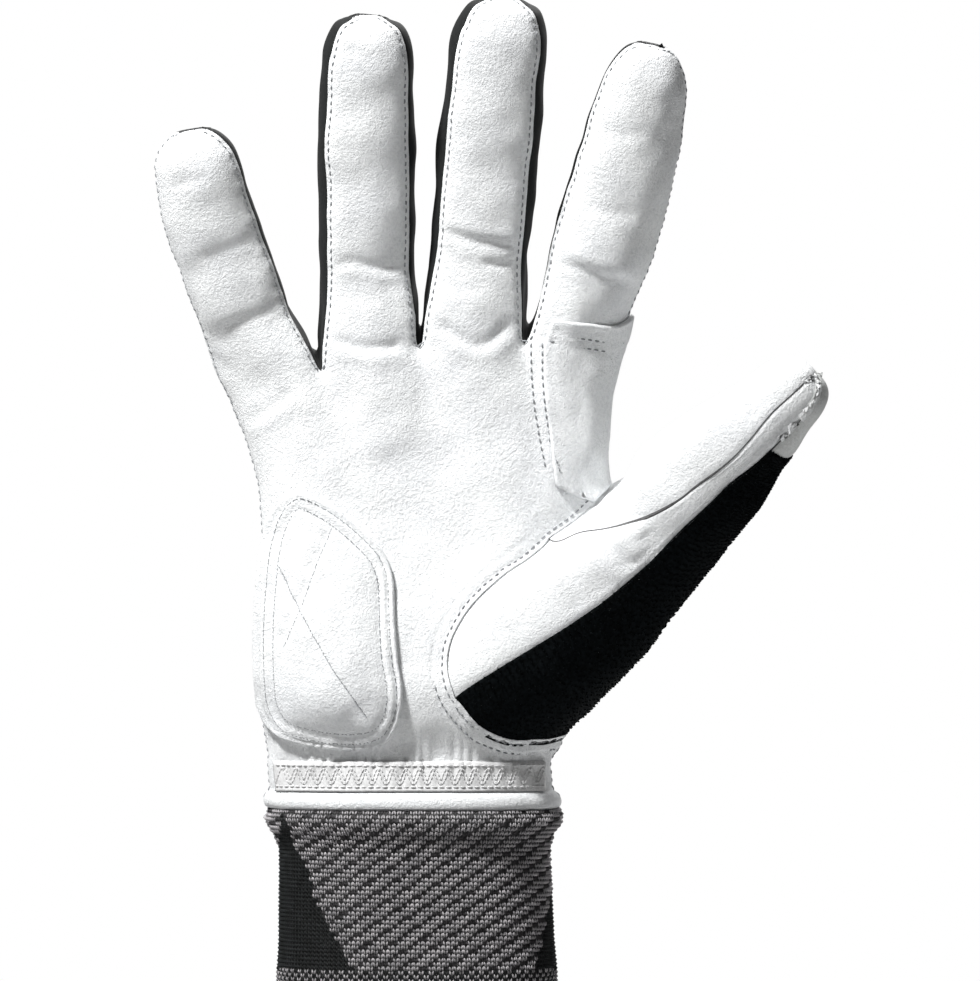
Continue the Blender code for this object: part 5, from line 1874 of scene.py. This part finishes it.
# Name, place, target, size, power and spread of each light.
LIGHTS = [
    ("key", (-0.52, -0.50, 1.10), (0.01, 0.0, 0.12), 0.20, 4.3, 70.0),
    ("front_fill", (0.15, -1.4, 0.35), (0.02, 0.0, 0.14), 0.5, 0.06, 60.0),
    ("back", (0.5, 1.3, 0.9), (0.0, 0.0, 0.12), 0.6, 2.0, 60.0),
    ("floor_light", (0.0, 0.9, 1.4), (0.0, 0.9, -0.3), 1.0, 12.0, 110.0),
]


def build_lights():
    """Soft studio light, and a room that is white to the camera but lights the glove dimly."""
    scene = bpy.context.scene
    scene.view_settings.view_transform = "Standard"
    scene.view_settings.look = "None"
    world = bpy.data.worlds.new("studio")
    world.use_nodes = True
    nodes, links = world.node_tree.nodes, world.node_tree.links
    dim, bright = nodes["Background"], nodes.new("ShaderNodeBackground")
    for background, strength in ((dim, ROOM_STRENGTH), (bright, 1.0)):
        background.inputs["Color"].default_value = (1.0, 1.0, 1.0, 1.0)
        background.inputs["Strength"].default_value = strength
    rays = nodes.new("ShaderNodeLightPath")
    either = nodes.new("ShaderNodeMixShader")
    links.new(rays.outputs["Is Camera Ray"], either.inputs[0])
    links.new(dim.outputs[0], either.inputs[1])
    links.new(bright.outputs[0], either.inputs[2])
    links.new(either.outputs[0], nodes["World Output"].inputs["Surface"])
    scene.world = world
    for light in LIGHTS:
        add_light(*light)


def build_camera():
    camera = bpy.data.cameras.new("photo_camera")
    camera.sensor_width = SENSOR
    camera.lens = SENSOR * CAMERA_FAR / FRAME_WIDTH
    camera.clip_end = 20.0
    obj = bpy.data.objects.new("photo_camera", camera)
    obj.location = (CAMERA_X, -CAMERA_FAR, CAMERA_Z)
    obj.rotation_euler = (math.pi / 2, 0.0, 0.0)
    bpy.context.scene.collection.objects.link(obj)
    bpy.context.scene.camera = obj


def settle(piece, slot, *replaced):
    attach(piece, "root")
    if replaced:
        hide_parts(*replaced)


def main():
    hand = Hand()
    white = suede("white_suede", (0.86, 0.87, 0.87), (0.80, 0.81, 0.82))
    white_edge = suede("white_suede_grip", (0.84, 0.85, 0.85), (0.77, 0.78, 0.79))
    # The thumb's tip patch is white suede. Its grey colour here is painted shade, for a tip that faces down
    # and away from the key light.
    shaded_tip_leather = suede("grey_suede_tip", (0.60, 0.61, 0.60), (0.50, 0.51, 0.50))
    # Dark grey for the thumb panels' outermost strips and walls: painted shadow along the seams.
    seam_shade_edge = plain_cloth("leather_cut_edge", (0.10, 0.10, 0.10), (0.17, 0.17, 0.17), 0.0006, 0.9)
    black = ribbed_shell("black_ribbed_shell")
    gusset = plain_cloth("black_gusset_stretch", (0.004, 0.005, 0.005), (0.010, 0.011, 0.011), 0.0008)
    pile = fleece("black_terry_pile", (0.0008, 0.0012, 0.0012), (0.0045, 0.0060, 0.0070), 0.0010)
    tape = plain_cloth("white_elastic_tape", (0.55, 0.55, 0.55), (0.70, 0.70, 0.70), 0.0006, 0.7)
    thread = plain_cloth("white_thread", (0.50, 0.50, 0.50), (0.66, 0.66, 0.66), 0.0004, 0.6)
    # The leather's stitching thread is white. Its dark grey here is painted shade of the sunk holes and
    # grooves it lies in.
    shaded_thread = plain_cloth("grey_thread", (0.20, 0.21, 0.22), (0.34, 0.35, 0.36), 0.0004, 0.7)
    knit = [
        yarn("knit_light_grey", (0.27, 0.26, 0.27), (0.46, 0.44, 0.45)),
        # The dark grey also paints the shade in the cuff's rib grooves.
        yarn("knit_dark_grey", (0.030, 0.028, 0.030), (0.075, 0.070, 0.074)),
        yarn("knit_black", (0.003, 0.004, 0.004), (0.012, 0.014, 0.015)),
        yarn("knit_white", (0.70, 0.72, 0.73), (0.84, 0.86, 0.87)),
        plain_cloth("knit_inner", (0.03, 0.03, 0.03), (0.06, 0.06, 0.06), 0.0008),
    ]

    gussets = [f"gusset_{a.name}_{b.name}" for a, b in zip(FINGERS, FINGERS[1:])]
    outside = ("back_panel", *gussets)
    thumb_parts = ("thumb_side_panel", "thumb_terry_back", "thumb_pad_panel")
    palm = build_panel(hand, "palm_panel", LEATHER_WALL, (-0.00005, 0.00028), 0.00034, [white],
                       rows_at={outside: (0.0014,), thumb_parts: (0.0015, 0.0041)}, pucker=0.00012)
    settle(palm, "white_leather", "palm_panel")
    threads = Threads(tree_of(palm))
    for towards, offsets in ((outside, (0.0014,)), (thumb_parts, (0.0015, 0.0041))):
        for chain in panel_border(hand, "palm_panel", towards):
            if len(chain) < 12:
                continue
            for offset in offsets:
                threads.row(inset_line(hand, chain, offset))
    settle(threads.piece("palm_stitching", shaded_thread), "white_leather")

    back = build_panel(hand, "back_panel", SHELL_WALL, (-0.0004, -0.00012), 0.0, [black], pucker=0.0001)
    settle(back, "black_shell", "back_panel")
    for name in gussets:
        piece = build_panel(hand, name, GUSSET_WALL, (-0.0004, -0.00015), 0.0, [gusset])
        settle(piece, "black_gusset", name)
    lifts = (("thumb_pad_panel", 0.00030), ("thumb_side_panel", 0.0), ("thumb_tip_patch", 0.0001))
    for name, inner in lifts:
        # The tip patch takes the grey suede, which is painted shade.
        face = shaded_tip_leather if name == "thumb_tip_patch" else white
        edges = (inner - 0.0010, inner - 0.00025)
        piece = build_panel(hand, name, LEATHER_WALL, edges, inner, [face, seam_shade_edge],
                            pucker=0.00018, rims=THUMB_RIM_WIDTHS)
        settle(piece, "white_leather", name)
    terry = build_terry(hand, pile)
    settle(terry, "black_terry", "thumb_terry_back")

    base_tree = tree_from(hand.points, hand.members("palm_panel"))
    pad, pad_threads = build_heel_pad(base_tree, white_edge, shaded_thread)
    settle(pad, "white_leather", "heel_pad")
    settle(pad_threads, "white_leather")
    patch, patch_threads = build_index_patch(hand, white, shaded_thread)
    settle(patch, "white_leather", "index_patch")
    settle(patch_threads, "white_leather")
    elastic, elastic_threads = build_elastic(hand, tape, thread)
    settle(elastic, "white_elastic", "wrist_elastic")
    settle(elastic_threads, "white_elastic")
    cuff = build_cuff(knit)
    settle(cuff, "grey_knit", "knit_cuff")

    build_stage()
    build_lights()
    build_camera()


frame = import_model()
main()
